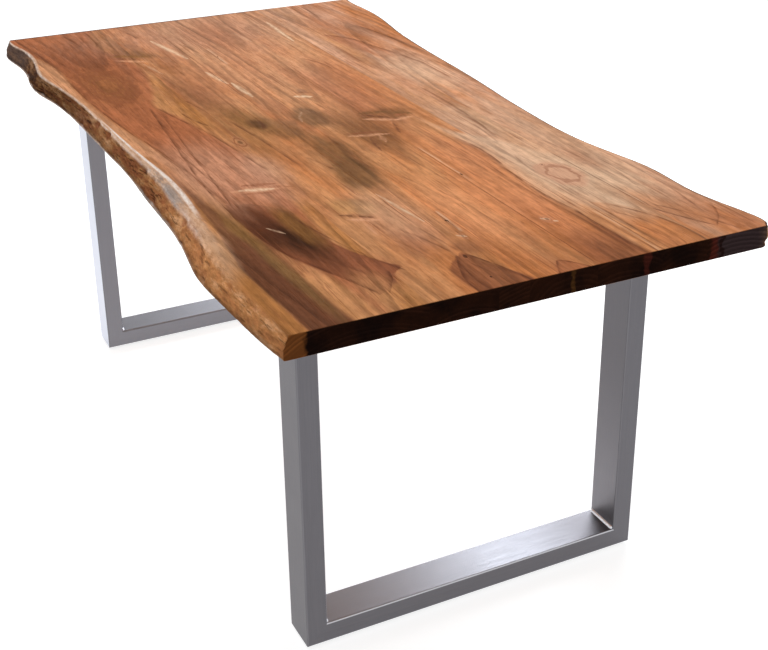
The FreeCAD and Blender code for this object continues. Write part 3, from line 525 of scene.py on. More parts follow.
# Strokes that cross the grain: from, to, half width, strength, tone.
STROKES = (
    ((0.320, -0.305), (0.336, -0.246), 0.0085, 0.85, BROWN_HEART),
    ((0.340, -0.330), (0.360, -0.250), 0.0150, 0.60, SALMON),
    ((0.341, -0.317), (0.359, -0.258), 0.0090, 1.00, CREAM),
    ((0.360, -0.320), (0.374, -0.262), 0.0060, 0.55, BROWN_HEART),
    ((0.345, -0.252), (0.366, -0.222), 0.0035, 0.60, BROWN_HEART),
    ((0.040, 0.062), (0.050, 0.112), 0.0120, 0.90, SMUDGE),
    ((0.046, 0.104), (0.086, 0.158), 0.0130, 0.90, SMUDGE),
    ((0.052, 0.066), (0.094, 0.106), 0.0070, 0.85, DARK_HEART),
    ((0.082, 0.122), (0.086, 0.146), 0.0080, 0.60, RED_HEART),
    ((0.076, 0.055), (0.112, 0.114), 0.0095, 0.80, SALMON),
    ((0.112, 0.108), (0.104, 0.150), 0.0095, 0.75, SALMON),
    ((0.146, -0.022), (0.164, 0.052), 0.0075, 0.80, BROWN_HEART),
    ((0.162, -0.018), (0.182, 0.060), 0.0085, 0.75, SALMON),
    ((0.182, 0.040), (0.226, 0.034), 0.0060, 0.60, SALMON),
    ((0.190, 0.016), (0.268, 0.002), 0.0045, 0.85, DARK_HEART),
    ((0.122, 0.098), (0.190, 0.082), 0.0045, 0.80, DARK_HEART),
    ((0.527, -0.205), (0.562, -0.160), 0.0085, 0.95, DARK_HEART),
    ((0.552, -0.200), (0.578, -0.156), 0.0095, 0.90, SALMON),
    ((0.588, -0.173), (0.632, -0.172), 0.0030, 0.70, BROWN_HEART),
    ((0.572, -0.184), (0.640, -0.186), 0.0035, 0.60, SALMON),
    ((-0.158, 0.004), (-0.144, 0.030), 0.0060, 0.65, BROWN_HEART),
    ((-0.134, -0.014), (-0.116, 0.022), 0.0080, 1.00, CREAM),
    ((-0.028, -0.041), (0.001, -0.058), 0.0040, 0.35, PALE_SAPWOOD),
    ((0.001, -0.058), (0.036, -0.064), 0.0040, 0.35, PALE_SAPWOOD),
    ((-0.632, -0.276), (-0.592, -0.200), 0.0160, 0.80, OLIVE_BROWN),
    ((-0.612, -0.278), (-0.572, -0.208), 0.0060, 0.75, DARK_HEART),
    ((-0.590, -0.274), (-0.546, -0.212), 0.0085, 0.80, SALMON),
    ((-0.560, -0.240), (-0.450, -0.226), 0.0050, 0.70, BROWN_HEART),
    ((-0.540, -0.228), (-0.430, -0.212), 0.0045, 0.45, PALE_SAPWOOD),
    ((-0.767, 0.174), (-0.558, 0.165), 0.0065, 0.85, CREAM),
    ((-0.727, -0.151), (-0.527, -0.120), 0.0075, 0.85, CREAM),
    ((-0.403, -0.119), (-0.290, -0.107), 0.0060, 0.80, CREAM),
    ((-0.294, -0.098), (-0.173, -0.092), 0.0070, 0.90, CREAM),
    ((0.465, -0.108), (0.620, -0.090), 0.0040, 0.75, CREAM),
    ((-0.650, -0.090), (-0.560, -0.080), 0.0055, 0.50, DARK_HEART),
    ((-0.480, 0.000), (-0.400, 0.012), 0.0045, 0.50, BROWN_HEART),
    ((-0.700, 0.060), (-0.600, 0.070), 0.0050, 0.30, PALE_SAPWOOD),
    ((0.090, -0.236), (0.130, -0.212), 0.0050, 0.60, BROWN_HEART),
    # painted glint across the dark tongue
    ((0.522, -0.338), (0.560, -0.318), 0.0030, 0.80, PALE_SAPWOOD),
    ((0.697, 0.090), (0.708, 0.102), 0.0045, 0.90, CREAM),
    ((0.716, 0.104), (0.724, 0.110), 0.0030, 0.80, CREAM),
    ((0.696, -0.070), (0.707, -0.058), 0.0040, 0.90, CREAM),
)

# Knots: centre, half size, core strength, ring strength, halo strength.
KNOTS = (
    ((0.532, 0.240), (0.060, 0.034), 0.0, 0.45, 0.60),
    ((0.476, 0.234), (0.008, 0.005), 0.8, 0.5, 0.2),
    ((0.094, -0.223), (0.034, 0.013), 0.5, 0.7, 0.1),
    ((-0.400, -0.350), (0.190, 0.072), 0.0, 0.60, 0.0),
    ((-0.400, -0.350), (0.140, 0.052), 0.0, 0.60, 0.0),
    ((-0.400, -0.350), (0.090, 0.034), 0.0, 0.60, 0.0),
    ((0.860, -0.103), (0.010, 0.007), 1.0, 0.4, 0.0),
    ((0.775, -0.100), (0.020, 0.010), 0.7, 0.4, 0.0),
    ((0.705, 0.098), (0.016, 0.009), 0.5, 0.3, 0.2),
    ((0.703, -0.063), (0.014, 0.006), 0.4, 0.3, 0.2),
    ((0.450, 0.0735), (0.013, 0.0035), 1.0, 0.0, 0.0),
    ((0.632, -0.0555), (0.015, 0.0035), 1.0, 0.0, 0.0),
    ((-0.510, -0.052), (0.018, 0.004), 0.9, 0.0, 0.0),
)

# Soft patches: centre, half size, slope, softness, tone, share.
PATCHES = (
    ((0.565, -0.322), (0.120, 0.026), 0.22, 0.70, DARK_CORE, 1.0),
    ((0.490, -0.345), (0.110, 0.024), -0.03, 0.6, DARK_HEART, 0.85),
    ((0.680, -0.373), (0.200, 0.012), 0.03, 0.6, OLIVE_TAN, 0.65),
    ((0.500, -0.383), (0.060, 0.014), 0.0, 0.6, OLIVE_TAN, 0.55),
    ((0.500, -0.405), (0.160, 0.010), 0.0, 0.6, DARK_HEART, 0.10),
    ((0.440, -0.408), (0.120, 0.012), 0.0, 0.6, TAN, 0.20),
    ((0.780, -0.395), (0.140, 0.022), 0.1, 0.6, DARK_HEART, 0.30),
    ((0.420, -0.380), (0.150, 0.012), 0.02, 0.7, OLIVE_BROWN, 0.6),
    ((0.530, -0.287), (0.095, 0.020), 0.05, 0.5, OLIVE_BROWN, 0.85),
    ((0.600, -0.345), (0.060, 0.016), 0.2, 0.7, DARK_CORE, 0.60),
    ((0.665, -0.342), (0.060, 0.020), 0.2, 0.7, BROWN_HEART, 0.40),
    ((0.760, -0.250), (0.060, 0.030), 0.0, 0.6, RED_HEART, 0.5),
    ((0.357, -0.094), (0.090, 0.040), -0.10, 0.40, SMUDGE, 0.85),
    ((0.225, -0.080), (0.095, 0.038), 0.0, 0.5, SMUDGE, 0.80),
    ((0.013, -0.038), (0.065, 0.036), 0.0, 0.35, SMUDGE, 0.85),
    ((0.055, -0.122), (0.085, 0.038), 0.15, 0.50, SMUDGE, 0.70),
    ((-0.040, -0.155), (0.090, 0.030), 0.10, 0.60, OLIVE_BROWN, 0.75),
    ((0.005, -0.154), (0.030, 0.016), 0.0, 0.5, DARK_CORE, 0.85),
    ((0.065, 0.112), (0.040, 0.050), 0.0, 0.4, OLIVE_BROWN, 0.80),
    ((0.140, 0.030), (0.120, 0.050), 0.0, 0.6, OLIVE_BROWN, 0.80),
    ((-0.190, -0.185), (0.110, 0.030), 0.0, 0.7, BROWN_HEART, 0.40),
    ((-0.165, 0.018), (0.016, 0.012), 0.0, 0.5, DARK_HEART, 0.45),
    ((0.505, -0.168), (0.040, 0.034), 0.3, 0.4, GOLDEN_SMEAR, 0.90),
    ((0.250, -0.235), (0.070, 0.035), 0.0, 0.7, DUSTY_TAN, 0.45),
    ((-0.450, 0.010), (0.420, 0.200), 0.0, 0.7, DUSTY_TAN, 0.30),
    ((0.490, -0.150), (0.020, 0.012), 0.3, 0.5, OLIVE_BROWN, 0.6),
    ((-0.630, -0.222), (0.050, 0.032), 0.6, 0.5, OLIVE_BROWN, 0.75),
    ((-0.628, -0.262), (0.020, 0.007), 0.0, 0.4, DARK_HEART, 0.8),
    ((-0.600, -0.350), (0.150, 0.055), 0.0, 0.7, BROWN_HEART, 0.55),
    ((-0.300, -0.345), (0.120, 0.035), 0.0, 0.7, BROWN_HEART, 0.35),
    ((-0.500, -0.270), (0.080, 0.022), 0.0, 0.6, BROWN_HEART, 0.45),
    ((-0.690, -0.310), (0.130, 0.110), 0.0, 0.45, BROWN_HEART, 0.50),
    ((-0.400, -0.350), (0.130, 0.050), 0.0, 0.70, OLIVE_BROWN, 0.40),
    ((0.660, 0.115), (0.100, 0.035), 0.0, 0.6, RED_HEART, 0.45),
    ((-0.260, -0.215), (0.110, 0.040), 0.0, 0.6, BROWN_HEART, 0.40),
    ((0.850, 0.118), (0.080, 0.050), 0.0, 0.6, BROWN_HEART, 0.75),
    ((0.690, -0.150), (0.050, 0.030), 0.0, 0.7, RED_HEART, 0.5),
    ((0.745, -0.080), (0.025, 0.022), 0.0, 0.6, BROWN_HEART, 0.55),
    ((0.350, -0.290), (0.035, 0.045), 0.0, 0.6, RED_HEART, 0.3),
    ((0.200, -0.325), (0.140, 0.085), 0.1, 0.7, ROSE_HEART, 0.70),
    ((0.360, -0.270), (0.080, 0.050), 0.0, 0.7, ROSE_HEART, 0.55),
    ((-0.200, 0.320), (0.150, 0.055), 0.0, 0.7, PALE_SAPWOOD, 0.65),
    ((0.440, 0.330), (0.320, 0.065), 0.0, 0.7, PALE_SAPWOOD, 0.60),
    ((0.610, 0.265), (0.130, 0.085), 0.0, 0.7, CREAM, 0.35),
    ((0.640, 0.250), (0.110, 0.055), 0.0, 0.7, PALE_SAPWOOD, 0.55),
    ((0.580, -0.130), (0.120, 0.050), 0.0, 0.7, DUSTY_TAN, 0.35),
    ((0.200, 0.240), (0.120, 0.045), 0.0, 0.7, PALE_SAPWOOD, 0.40),
    ((0.300, -0.360), (0.130, 0.030), 0.0, 0.7, ROSE_HEART, 0.50),
    ((0.820, -0.275), (0.060, 0.030), 0.0, 0.7, TAN, 0.60),
    ((0.480, 0.120), (0.260, 0.050), 0.0, 0.7, ORANGE_TAN, 0.50),
    ((0.600, -0.010), (0.140, 0.075), 0.0, 0.7, ORANGE_TAN, 0.50),
    ((-0.780, 0.020), (0.200, 0.300), 0.0, 0.7, MUTED_TAN, 0.55),
    ((-0.600, 0.330), (0.120, 0.060), 0.0, 0.7, BROWN_HEART, 0.28),
    ((-0.350, -0.170), (0.200, 0.050), 0.0, 0.7, BROWN_HEART, 0.30),
    ((0.210, -0.170), (0.110, 0.045), 0.0, 0.7, BROWN_HEART, 0.28),
    # pale sapwood on the rolled left shoulder, partly a painted highlight
    ((0.560, -0.445), (0.110, 0.022), -0.05, 0.6, PALE_SAPWOOD, 0.45),
    ((0.020, -0.190), (0.160, 0.035), 0.0, 0.7, OLIVE_BROWN, 0.45),
    ((0.120, 0.050), (0.150, 0.070), 0.0, 0.8, BROWN_HEART, 0.35),
    ((0.750, 0.310), (0.120, 0.030), 0.3, 0.7, HONEY, 0.5),
    ((0.820, 0.187), (0.140, 0.020), 0.05, 0.5, TAN, 0.85),
    ((0.790, 0.195), (0.170, 0.045), 0.0, 0.7, HONEY, 0.40),
    ((0.840, 0.160), (0.100, 0.010), 0.05, 0.6, BROWN_HEART, 0.5),
    ((0.860, 0.375), (0.050, 0.030), 0.0, 0.7, RED_HEART, 0.35),
    ((0.480, 0.320), (0.060, 0.020), 0.0, 0.8, RED_HEART, 0.35),
    ((-0.700, 0.010), (0.140, 0.060), 0.0, 0.7, RED_HEART, 0.4),
    ((-0.100, 0.120), (0.200, 0.070), 0.0, 0.8, RED_HEART, 0.4),
    ((-0.550, 0.385), (0.180, 0.020), 0.1, 0.7, BROWN_HEART, 0.3),
)

# Glue lines that show: Y of the joint, from x, to x.
SEAMS = (
    (0.285, 0.42, 0.74),
    (0.195, 0.68, 0.90),
    (0.195, -0.79, -0.58),
    (0.070, 0.27, 0.90),
    (-0.055, 0.58, 0.68),
    (-0.055, -0.60, -0.44),
    (-0.110, 0.48, 0.62),
    (-0.110, -0.77, -0.50),
    (-0.110, -0.43, -0.18),
)
# How near a plank a glue line counts as its own, and the length over which it fades out.
SEAM_REACH = 0.002
SEAM_FADE = 0.03

# Tones of the sawn ends beyond some Y: tone, share, Y where it starts, Y where it is full.
END_TONES = (
    (CORNER_GRAIN, 1.0, -0.425, -0.435),
    (GREY_GRAIN, 0.85, 0.295, 0.320),
    (PALE_GRAIN, 0.7, 0.390, 0.415),
)

# Coloured marks on the sawn ends: tone, share, middle Y, half width.
END_MARKS = (
    (RED_GRAIN, 0.8, 0.300, 0.012),
    (NEAR_BLACK, 0.7, 0.315, 0.005),
    (RED_GRAIN, 0.6, 0.165, 0.008),
    (OLIVE_BROWN, 0.35, 0.024, 0.005),
)


def touches(low, high, node):
    """Whether a stretch of Y lies on a plank."""
    plank_low, plank_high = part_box(node)
    return low < plank_high.y and high > plank_low.y


def start_material(name):
    material = bpy.data.materials.new(name)
    material.use_nodes = True
    material.node_tree.nodes.clear()
    net = Net(material.node_tree)
    place = net.wire(net.node("ShaderNodeTexCoord"), "Object")
    return material, net, place


def finish_material(net, values, height, distance):
    """The shader, with its bump from a height."""
    bump = net.node("ShaderNodeBump", {"Strength": 1.0, "Distance": distance, "Height": height})
    shader = net.node("ShaderNodeBsdfPrincipled", {**values, "Normal": net.wire(bump)})
    output = net.node("ShaderNodeOutputMaterial")
    net.tree.links.new(shader.outputs[0], output.inputs[0])


def put_on(node, material):
    """Gives a node one finish in place of what it has."""
    nodes[node].data.materials.clear()
    nodes[node].data.materials.append(material)


def flat(point):
    """A point (x, y) of the upper face as a place."""
    return (*point, 0.0)


def lay_areas(net, drawn_x, drawn_y, node, colour):
    """The colour with the areas that lie on a plank laid over it."""
    for tone, share, softness, upper, lower in AREAS:
        lowest = min(across for _, across in lower[1:])
        highest = max(across for _, across in upper[1:])
        if not touches(lowest, highest, node):
            continue
        below_upper = net.steps(net.course(drawn_x, upper) - drawn_y, -softness, softness)
        above_lower = net.steps(drawn_y - net.course(drawn_x, lower), -softness, softness)
        colour = net.blend(below_upper * above_lower * share, colour, tone)
    return colour


def lay_patches(net, drawn, node, colour):
    """The colour with the soft patches that lie on a plank laid over it."""
    for centre, half_size, slope, softness, tone, share in PATCHES:
        reach = 1.5 * half_size[1]
        if not touches(centre[1] - reach, centre[1] + reach, node):
            continue
        values = {"Place": drawn, "Centre": flat(centre), "Half Size": flat(half_size), "Slope": slope,
                  "Softness": softness}
        patch = net.use(SOFT_PATCH, values)
        colour = net.blend(net.wire(patch) * share, colour, tone)
    return colour


def draw_lines(net, drawn, node, lines, colour, line_tone):
    """The colour with the lines that lie on a plank drawn over it."""
    marks = None
    for start, end, bow, half_width, strength, soft_side in lines:
        lowest = min(start[1], end[1]) - abs(bow)
        highest = max(start[1], end[1]) + abs(bow)
        if not touches(lowest, highest, node):
            continue
        values = {"Place": drawn, "Start": flat(start), "End": flat(end), "Bow": bow,
                  "Half Width": half_width, "Soft Side": float(soft_side)}
        mark = net.wire(net.use(GRAIN_LINE, values)) * strength
        marks = mark if marks is None else net.larger(marks, mark)
    if marks is None:
        return colour
    gaps = net.noise(net.stretch(drawn, (16.0, 70.0, 0.0)), 1.0, 3.0)
    return net.blend(marks * (0.45 + 0.55 * net.steps(gaps, 0.38, 0.58)), colour, line_tone)


def draw_strokes(net, drawn, node, colour):
    """The colour with the strokes that lie on a plank drawn over it."""
    for start, end, half_width, strength, tone in STROKES:
        lowest = min(start[1], end[1]) - half_width
        highest = max(start[1], end[1]) + half_width
        if not touches(lowest, highest, node):
            continue
        values = {"Place": drawn, "Start": flat(start), "End": flat(end), "Half Width": half_width}
        stroke = net.use(STROKE, values)
        colour = net.blend(net.wire(stroke) * strength, colour, tone)
    return colour


def draw_knots(net, drawn, node, colour):
    """The colour with the knots that lie on a plank drawn over it."""
    for centre, half_size, core_strength, ring_strength, halo_strength in KNOTS:
        if not touches(centre[1] - half_size[1], centre[1] + half_size[1], node):
            continue
        knot = net.use(KNOT, {"Place": drawn, "Centre": flat(centre), "Half Size": flat(half_size)})
        colour = net.blend(net.wire(knot, "Halo") * halo_strength, colour, ROSE_HEART)
        colour = net.blend(net.wire(knot, "Rings") * ring_strength, colour, BROWN_HEART)
        colour = net.blend(net.wire(knot, "Core") * core_strength, colour, NEAR_BLACK)
    return colour


def draw_seams(net, x, y, node, colour):
    """The colour with the glue lines that show along a plank drawn over it."""
    seams = None
    for seam_y, from_x, to_x in SEAMS:
        if not touches(seam_y - SEAM_REACH, seam_y + SEAM_REACH, node):
            continue
        along = net.steps(x, from_x, from_x + SEAM_FADE) * net.steps(x, to_x, to_x - SEAM_FADE)
        seam = net.steps(net.absolute(y - seam_y), 0.0011, 0.0004) * along
        seams = seam if seams is None else net.larger(seams, seam)
    if seams is None:
        return colour
    return net.blend(seams * 0.7, colour, DARK_HEART)


def sawn_end_colour(net, end_y, tone, rings):
    """The sawn ends: dark grain made near black with painted shade, with its tones and marks."""
    colour = net.blend(tone * 0.3, DARK_END_GRAIN_AND_SHADE, DARK_HEART)
    for mark_tone, share, start_y, full_y in END_TONES:
        colour = net.blend(net.steps(end_y, start_y, full_y) * share, colour, mark_tone)
    for mark_tone, share, middle_y, half_width in END_MARKS:
        mark = net.steps(net.absolute(end_y - middle_y), half_width, half_width * 0.3)
        colour = net.blend(mark * share, colour, mark_tone)
    return net.shade(colour, 0.70 + rings * 0.4)


def plank_material(node, light, dark, pith, ring_width, taper, seed):
    """The finish of one plank: its own rings and tones, and what the figure puts on it."""
    material, net, place = start_material(f"{node}_wood")
    x, y, z = net.split(place)
    sway = net.noise(net.stretch(place, (3.0, 9.0, 9.0), seed), 1.0, 2.0) - 0.5
    shiver = net.noise(net.stretch(place, (16.0, 70.0, 70.0), seed), 1.0, 3.0) - 0.5
    drawn_y = y + sway * 0.007 + shiver * 0.0035
    drawn_x = x + shiver * 0.012
    drawn = net.join(drawn_x, drawn_y, 0.0)
    values = {"Place": place, "Pith Y": pith[0], "Pith Z": pith[1], "Taper": taper,
              "Ring Width": ring_width, "Seed": seed}
    grain = net.use(WOOD_GRAIN, values)
    parts = [net.wire(grain, index) for index in range(len(grain.outputs))]
    rings, fibre, pores, tone, warmth, mottle, hairlines, streaks = parts

    plain = net.blend(tone, light, dark)
    plain = net.blend(warmth * 0.45, plain, RED_HEART)
    plain = lay_areas(net, drawn_x, drawn_y, node, plain)
    figure = (1.0 - rings * 0.32) * (0.84 + fibre * 0.25) * (0.87 + mottle * 0.25) * (1.04 - streaks * 0.17)
    colour = net.shade(lay_patches(net, drawn, node, plain), figure)
    colour = net.blend(hairlines * 0.5, colour, BROWN_HEART)
    colour = draw_lines(net, drawn, node, DARK_LINES, colour, DARK_HEART)
    # pale lines, painted highlights along the glue joints among them
    colour = draw_lines(net, drawn, node, PALE_LINES_AND_SEAM_HIGHLIGHTS, colour, PALE_SAPWOOD)
    colour = draw_strokes(net, drawn, node, colour)
    colour = draw_knots(net, drawn, node, colour)
    colour = draw_seams(net, x, y, node, colour)
    colour = net.blend(pores * 0.30, colour, DARK_HEART)

    end = net.steps(net.absolute(x), HALF_LENGTH - END_EASE, HALF_LENGTH - END_EASE / 3)
    colour = net.blend(end, colour, sawn_end_colour(net, y + shiver * 0.02, tone, rings))
    far_rim = net.steps(x, 0.010 - HALF_LENGTH, 0.005 - HALF_LENGTH) * net.steps(y, 0.30, 0.10)
    colour = net.blend(far_rim * 0.75, colour, GREY_GRAIN)
    # the underside is paler: partly bare unfinished wood, partly painted bounce light for the steel below to
    # reflect
    under = net.steps(z, UNDER_Z + 0.0004, UNDER_Z + 0.0001)
    underside = net.blend(under * 0.55, net.shade(plain, figure), PALE_SAPWOOD)
    colour = net.blend(under, colour, underside)

    roughness = 0.40 - fibre * 0.08 + pores * 0.2 + under * 0.25 + end * 0.2
    height = fibre * 0.4 - pores * 0.8 - rings * 0.15
    return material, net, colour, roughness, height


def finish_plank(node, *grain):
    material, net, colour, roughness, height = plank_material(node, *grain)
    values = {"Base Color": colour, "Roughness": roughness, "Specular IOR Level": WOOD_SHINE}
    finish_material(net, values, height, WOOD_BUMP)
    put_on(node, material)


# Inner planks from the left: light tone, dark tone, pith (y, z), ring width, taper, seed.
INNER_PLANKS = (
    (TAN, HONEY, (-0.17, 0.60), 0.008, 0.02, 1.3),
    (TAN, HONEY, (-0.02, 0.55), 0.007, -0.015, 4.1),
    (TAN, HONEY, (0.03, 0.66), 0.009, 0.02, 7.7),
    (TAN, HONEY, (0.12, 0.60), 0.008, -0.02, 11.9),
    (PINK_SAPWOOD, TAN, (0.25, 0.64), 0.009, 0.018, 15.2),
)
for number, grain in enumerate(INNER_PLANKS, 1):
    finish_plank(f"inner_plank_{number}", *grain)


# Live edge planks

LEFT, RIGHT = -1, 1
THICKNESS = TOP_Z - UNDER_Z
# How far the crest is rolled over, along the plank: x, width.
ROLL = {
    LEFT: ((-0.90, 0.004), (-0.20, 0.006), (0.10, 0.014), (0.30, 0.024), (0.50, 0.024), (0.65, 0.014),
           (0.80, 0.007), (0.90, 0.003)),
    RIGHT: ((-0.90, 0.006), (0.90, 0.006)),
}
# How much further out the crest stands: x, distance.
CREST_REACH = {
    LEFT: ((-0.90, 0.0), (0.90, 0.0)),
    RIGHT: ((-0.90, 0.0), (0.84, 0.0), (0.86, 0.003), (0.885, 0.007), (0.90, 0.004)),
}
# How much further out the foot stands: x, distance.
FOOT_REACH = {
    LEFT: ((-0.90, 0.003), (0.0, 0.005), (0.45, 0.008), (0.60, 0.009), (0.80, 0.008), (0.90, 0.004)),
    RIGHT: ((-0.90, 0.0), (0.84, 0.0), (0.90, -0.006)),
}
FOOT_ROLL = 0.008
BELLY = 0.0025
CORNER_PULL = 0.0005
TOP_PARTS, ROLL_PARTS, FACE_PARTS, FOOT_PARTS, UNDER_PARTS = 8, 8, 18, 6, 4
SECTION_PARTS = TOP_PARTS + ROLL_PARTS + FACE_PARTS + FOOT_PARTS + UNDER_PARTS
LENGTH_PARTS = 480
# Where the crest and the foot of the plain plank are read, how near a point must be, and how far out.
CREST_LEVEL = TOP_Z - 0.006
FOOT_LEVEL = UNDER_Z + 0.005
LEVEL_SLACK = 0.0004
LEAST_REACH = 0.3
SLACK = 0.0001
# How strongly a dent in the raw edge counts as hollow, and the bump on it.
HOLLOW_GAIN = 220.0
EDGE_BUMP = 0.0003
# Faces that meet at more than this many degrees keep a sharp edge.
PLANK_CREASE = 35.0
FITTING_CREASE = 40.0


def edge_course(node, side, level):
    """The outermost line of a live plank at one level, as sorted lists of x and of distance outwards."""
    reach = {}
    for vertex in nodes[node].data.vertices:
        if abs(vertex.co.z - level) < LEVEL_SLACK:
            key = round(vertex.co.x, 4)
            reach[key] = max(reach.get(key, -1.0), vertex.co.y * side)
    outer = {key: value for key, value in reach.items() if value > LEAST_REACH}
    stations = sorted(outer)
    return stations, [outer[key] for key in stations]


def read_course(course, x):
    stations, reach = course
    index = min(max(bisect.bisect(stations, x), 1), len(stations) - 1)
    before, after = stations[index - 1], stations[index]
    share = min(max((x - before) / (after - before), 0.0), 1.0)
    return between(reach[index - 1], reach[index], share)


def between(start, end, share):
    return start + (end - start) * share


def bend(start, middle, end, share):
    """A point on the round corner that leaves start towards middle and arrives at end."""
    return between(between(start, middle, share), between(middle, end, share), share)


def section_point(part, joint, crest, foot, roll):
    """A point of the outline as (outwards, level above the underside), and how much of it is raw edge."""
    roll_depth = 0.003 + roll * 0.5
    face_high = Vector((between(crest, foot, roll_depth / THICKNESS), THICKNESS - roll_depth))
    face_low = Vector((between(crest, foot, 1 - FOOT_ROLL / THICKNESS), FOOT_ROLL))
    if part <= TOP_PARTS:
        share = 1 - (1 - part / TOP_PARTS) ** 2
        return Vector((between(joint, crest - roll, share), THICKNESS)), 0.0
    part -= TOP_PARTS
    if part <= ROLL_PARTS:
        share = part / ROLL_PARTS
        corner = Vector((crest + CORNER_PULL, THICKNESS))
        return bend(Vector((crest - roll, THICKNESS)), corner, face_high, share), share
    part -= ROLL_PARTS
    if part <= FACE_PARTS:
        share = part / FACE_PARTS
        point = between(face_high, face_low, share)
        point.x += BELLY * math.sin(math.pi * share)
        return point, 1.0
    part -= FACE_PARTS
    if part <= FOOT_PARTS:
        share = part / FOOT_PARTS
        corner = Vector((foot + CORNER_PULL, 0.0))
        return bend(face_low, corner, Vector((foot - FOOT_ROLL, 0.0)), share), 1.0 - share * 0.999
    share = (part - FOOT_PARTS) / UNDER_PARTS
    return Vector((between(foot - FOOT_ROLL, joint, share), 0.0)), 0.0


def edge_relief(x, level, side):
    """Height of the raw edge's ridges, dents and fine roughness at one place."""
    wave = noise.noise(Vector((x * 9.0, level * 22.0, side * 5.0))) * 0.0030
    ridge = noise.ridged_multi_fractal(Vector((x * 16.0, level * 120.0, side * 9.0)), 0.9, 2.1, 3, 1.0, 2.0)
    rough = noise.noise(Vector((x * 130.0, level * 260.0, side * 3.0))) * 0.0006
    dent = max(noise.noise(Vector((x * 26.0, level * 50.0, side * 13.0))) - 0.2, 0.0) * -0.008
    return wave + (ridge - 0.6) * 0.0009 + rough + dent


def build_live_plank(node, side):
    """The live plank with its raw edge carved, closed at the glue joint and at both ends."""
    crest_course = edge_course(node, side, CREST_LEVEL)
    foot_course = edge_course(node, side, FOOT_LEVEL)
    tables = (ROLL[side], CREST_REACH[side], FOOT_REACH[side])
    roll_course, crest_reach, foot_reach = (list(zip(*table)) for table in tables)
    low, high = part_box(node)
    joint = high.y * side if side == LEFT else low.y
    end_row = 1.5 * (2 * HALF_LENGTH / LENGTH_PARTS)
    mesh = bmesh.new()
    bmesh.ops.create_grid(mesh, x_segments=LENGTH_PARTS, y_segments=SECTION_PARTS, size=0.5)
    raw_edge = mesh.verts.layers.float.new("raw_edge")
    hollow = mesh.verts.layers.float.new("hollow")
    for vertex in mesh.verts:
        station = vertex.co.x + 0.5
        part = round((vertex.co.y + 0.5) * SECTION_PARTS)
        x = between(-HALF_LENGTH, HALF_LENGTH, station)
        at_end = station < SLACK or station > 1 - SLACK
        crest = read_course(crest_course, x) + read_course(crest_reach, x)
        foot = read_course(foot_course, x) + read_course(foot_reach, x)
        point, raw = section_point(part, joint, crest, foot, read_course(roll_course, x))
        relief = edge_relief(x, point.y, side) * raw * raw
        point.x += relief
        if at_end:
            point.y = min(max(point.y, END_EASE), THICKNESS - END_EASE)
            if 0 < part < SECTION_PARTS:
                point.x -= END_EASE * raw
        elif abs(x) > HALF_LENGTH - end_row:
            x = math.copysign(HALF_LENGTH - END_EASE, x)
        vertex[raw_edge] = raw
        vertex[hollow] = min(max(0.5 - relief * HOLLOW_GAIN, 0.0), 1.0) * raw
        vertex.co = (x, point.x * side, UNDER_Z + point.y)
    joint_edges = [edge for edge in mesh.edges if edge.is_boundary
                   and all(abs(vertex.co.y * side - joint) < SLACK for vertex in edge.verts)]
    bmesh.ops.bridge_loops(mesh, edges=joint_edges)
    bmesh.ops.holes_fill(mesh, edges=[edge for edge in mesh.edges if edge.is_boundary], sides=0)
    bmesh.ops.recalc_face_normals(mesh, faces=mesh.faces)
    return mesh


def new_piece(name, mesh, body, material, node, crease):
    """Turns a bmesh into a piece that rides on a body and stands in for a node."""
    data = bpy.data.meshes.new(name)
    mesh.to_mesh(data)
    mesh.free()
    data.materials.append(material)
    data.shade_smooth()
    data.set_sharp_from_angle(angle=math.radians(crease))
    piece = bpy.data.objects.new(name, data)
    scene.collection.objects.link(piece)
    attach(piece, body)
    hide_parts(node)


def bark_colour(net, x, z, hollow, patches, flecks, cracks):
    """The raw edge: golden, with fewer dark patches towards the near end, painted shade in its hollows and at
    its foot, painted light brightening it towards the near end, and grey at the far end.
    """
    # dark patches, and painted shade where the raw edge dents into hollows
    dark_patches_and_hollow_shade = net.larger(net.steps(patches, 0.46, 0.58), net.steps(hollow, 0.55, 1.0))
    nearer_end = net.steps(x, 0.20, 0.60)
    layers = (
        (dark_patches_and_hollow_shade * (0.85 - nearer_end * 0.45), BROWN_HEART),
        (net.steps(patches, 0.58, 0.68) * (0.8 - nearer_end * 0.5), DARK_BARK),
        (net.steps(cracks, 0.56, 0.66) * (0.85 - nearer_end * 0.35), DARK_BARK),
        (net.steps(x, -0.35, -0.60) * net.steps(patches, 0.40, 0.58) * 0.8, DARK_BARK),
        (net.steps(x, -0.68, -0.78) * 0.6, GREY_BARK),
    )
    colour = net.blend(net.steps(patches, 0.50, 0.34), GOLDEN_BARK, BRIGHT_BARK)
    for share, tone in layers:
        colour = net.blend(share, colour, tone)
    # painted shade: the raw edge darkens towards its foot
    painted_foot_shade = net.steps(z, UNDER_Z + 0.004, UNDER_Z + 0.014) * 0.45 + 0.55
    # painted light: the raw edge brightens towards the near end
    along = 0.62 + 0.38 * net.steps(x, -0.40, -0.15) + 0.65 * net.steps(x, 0.05, 0.60)
    return net.shade(colour, (0.28 + flecks * 1.45) * (painted_foot_shade * along))


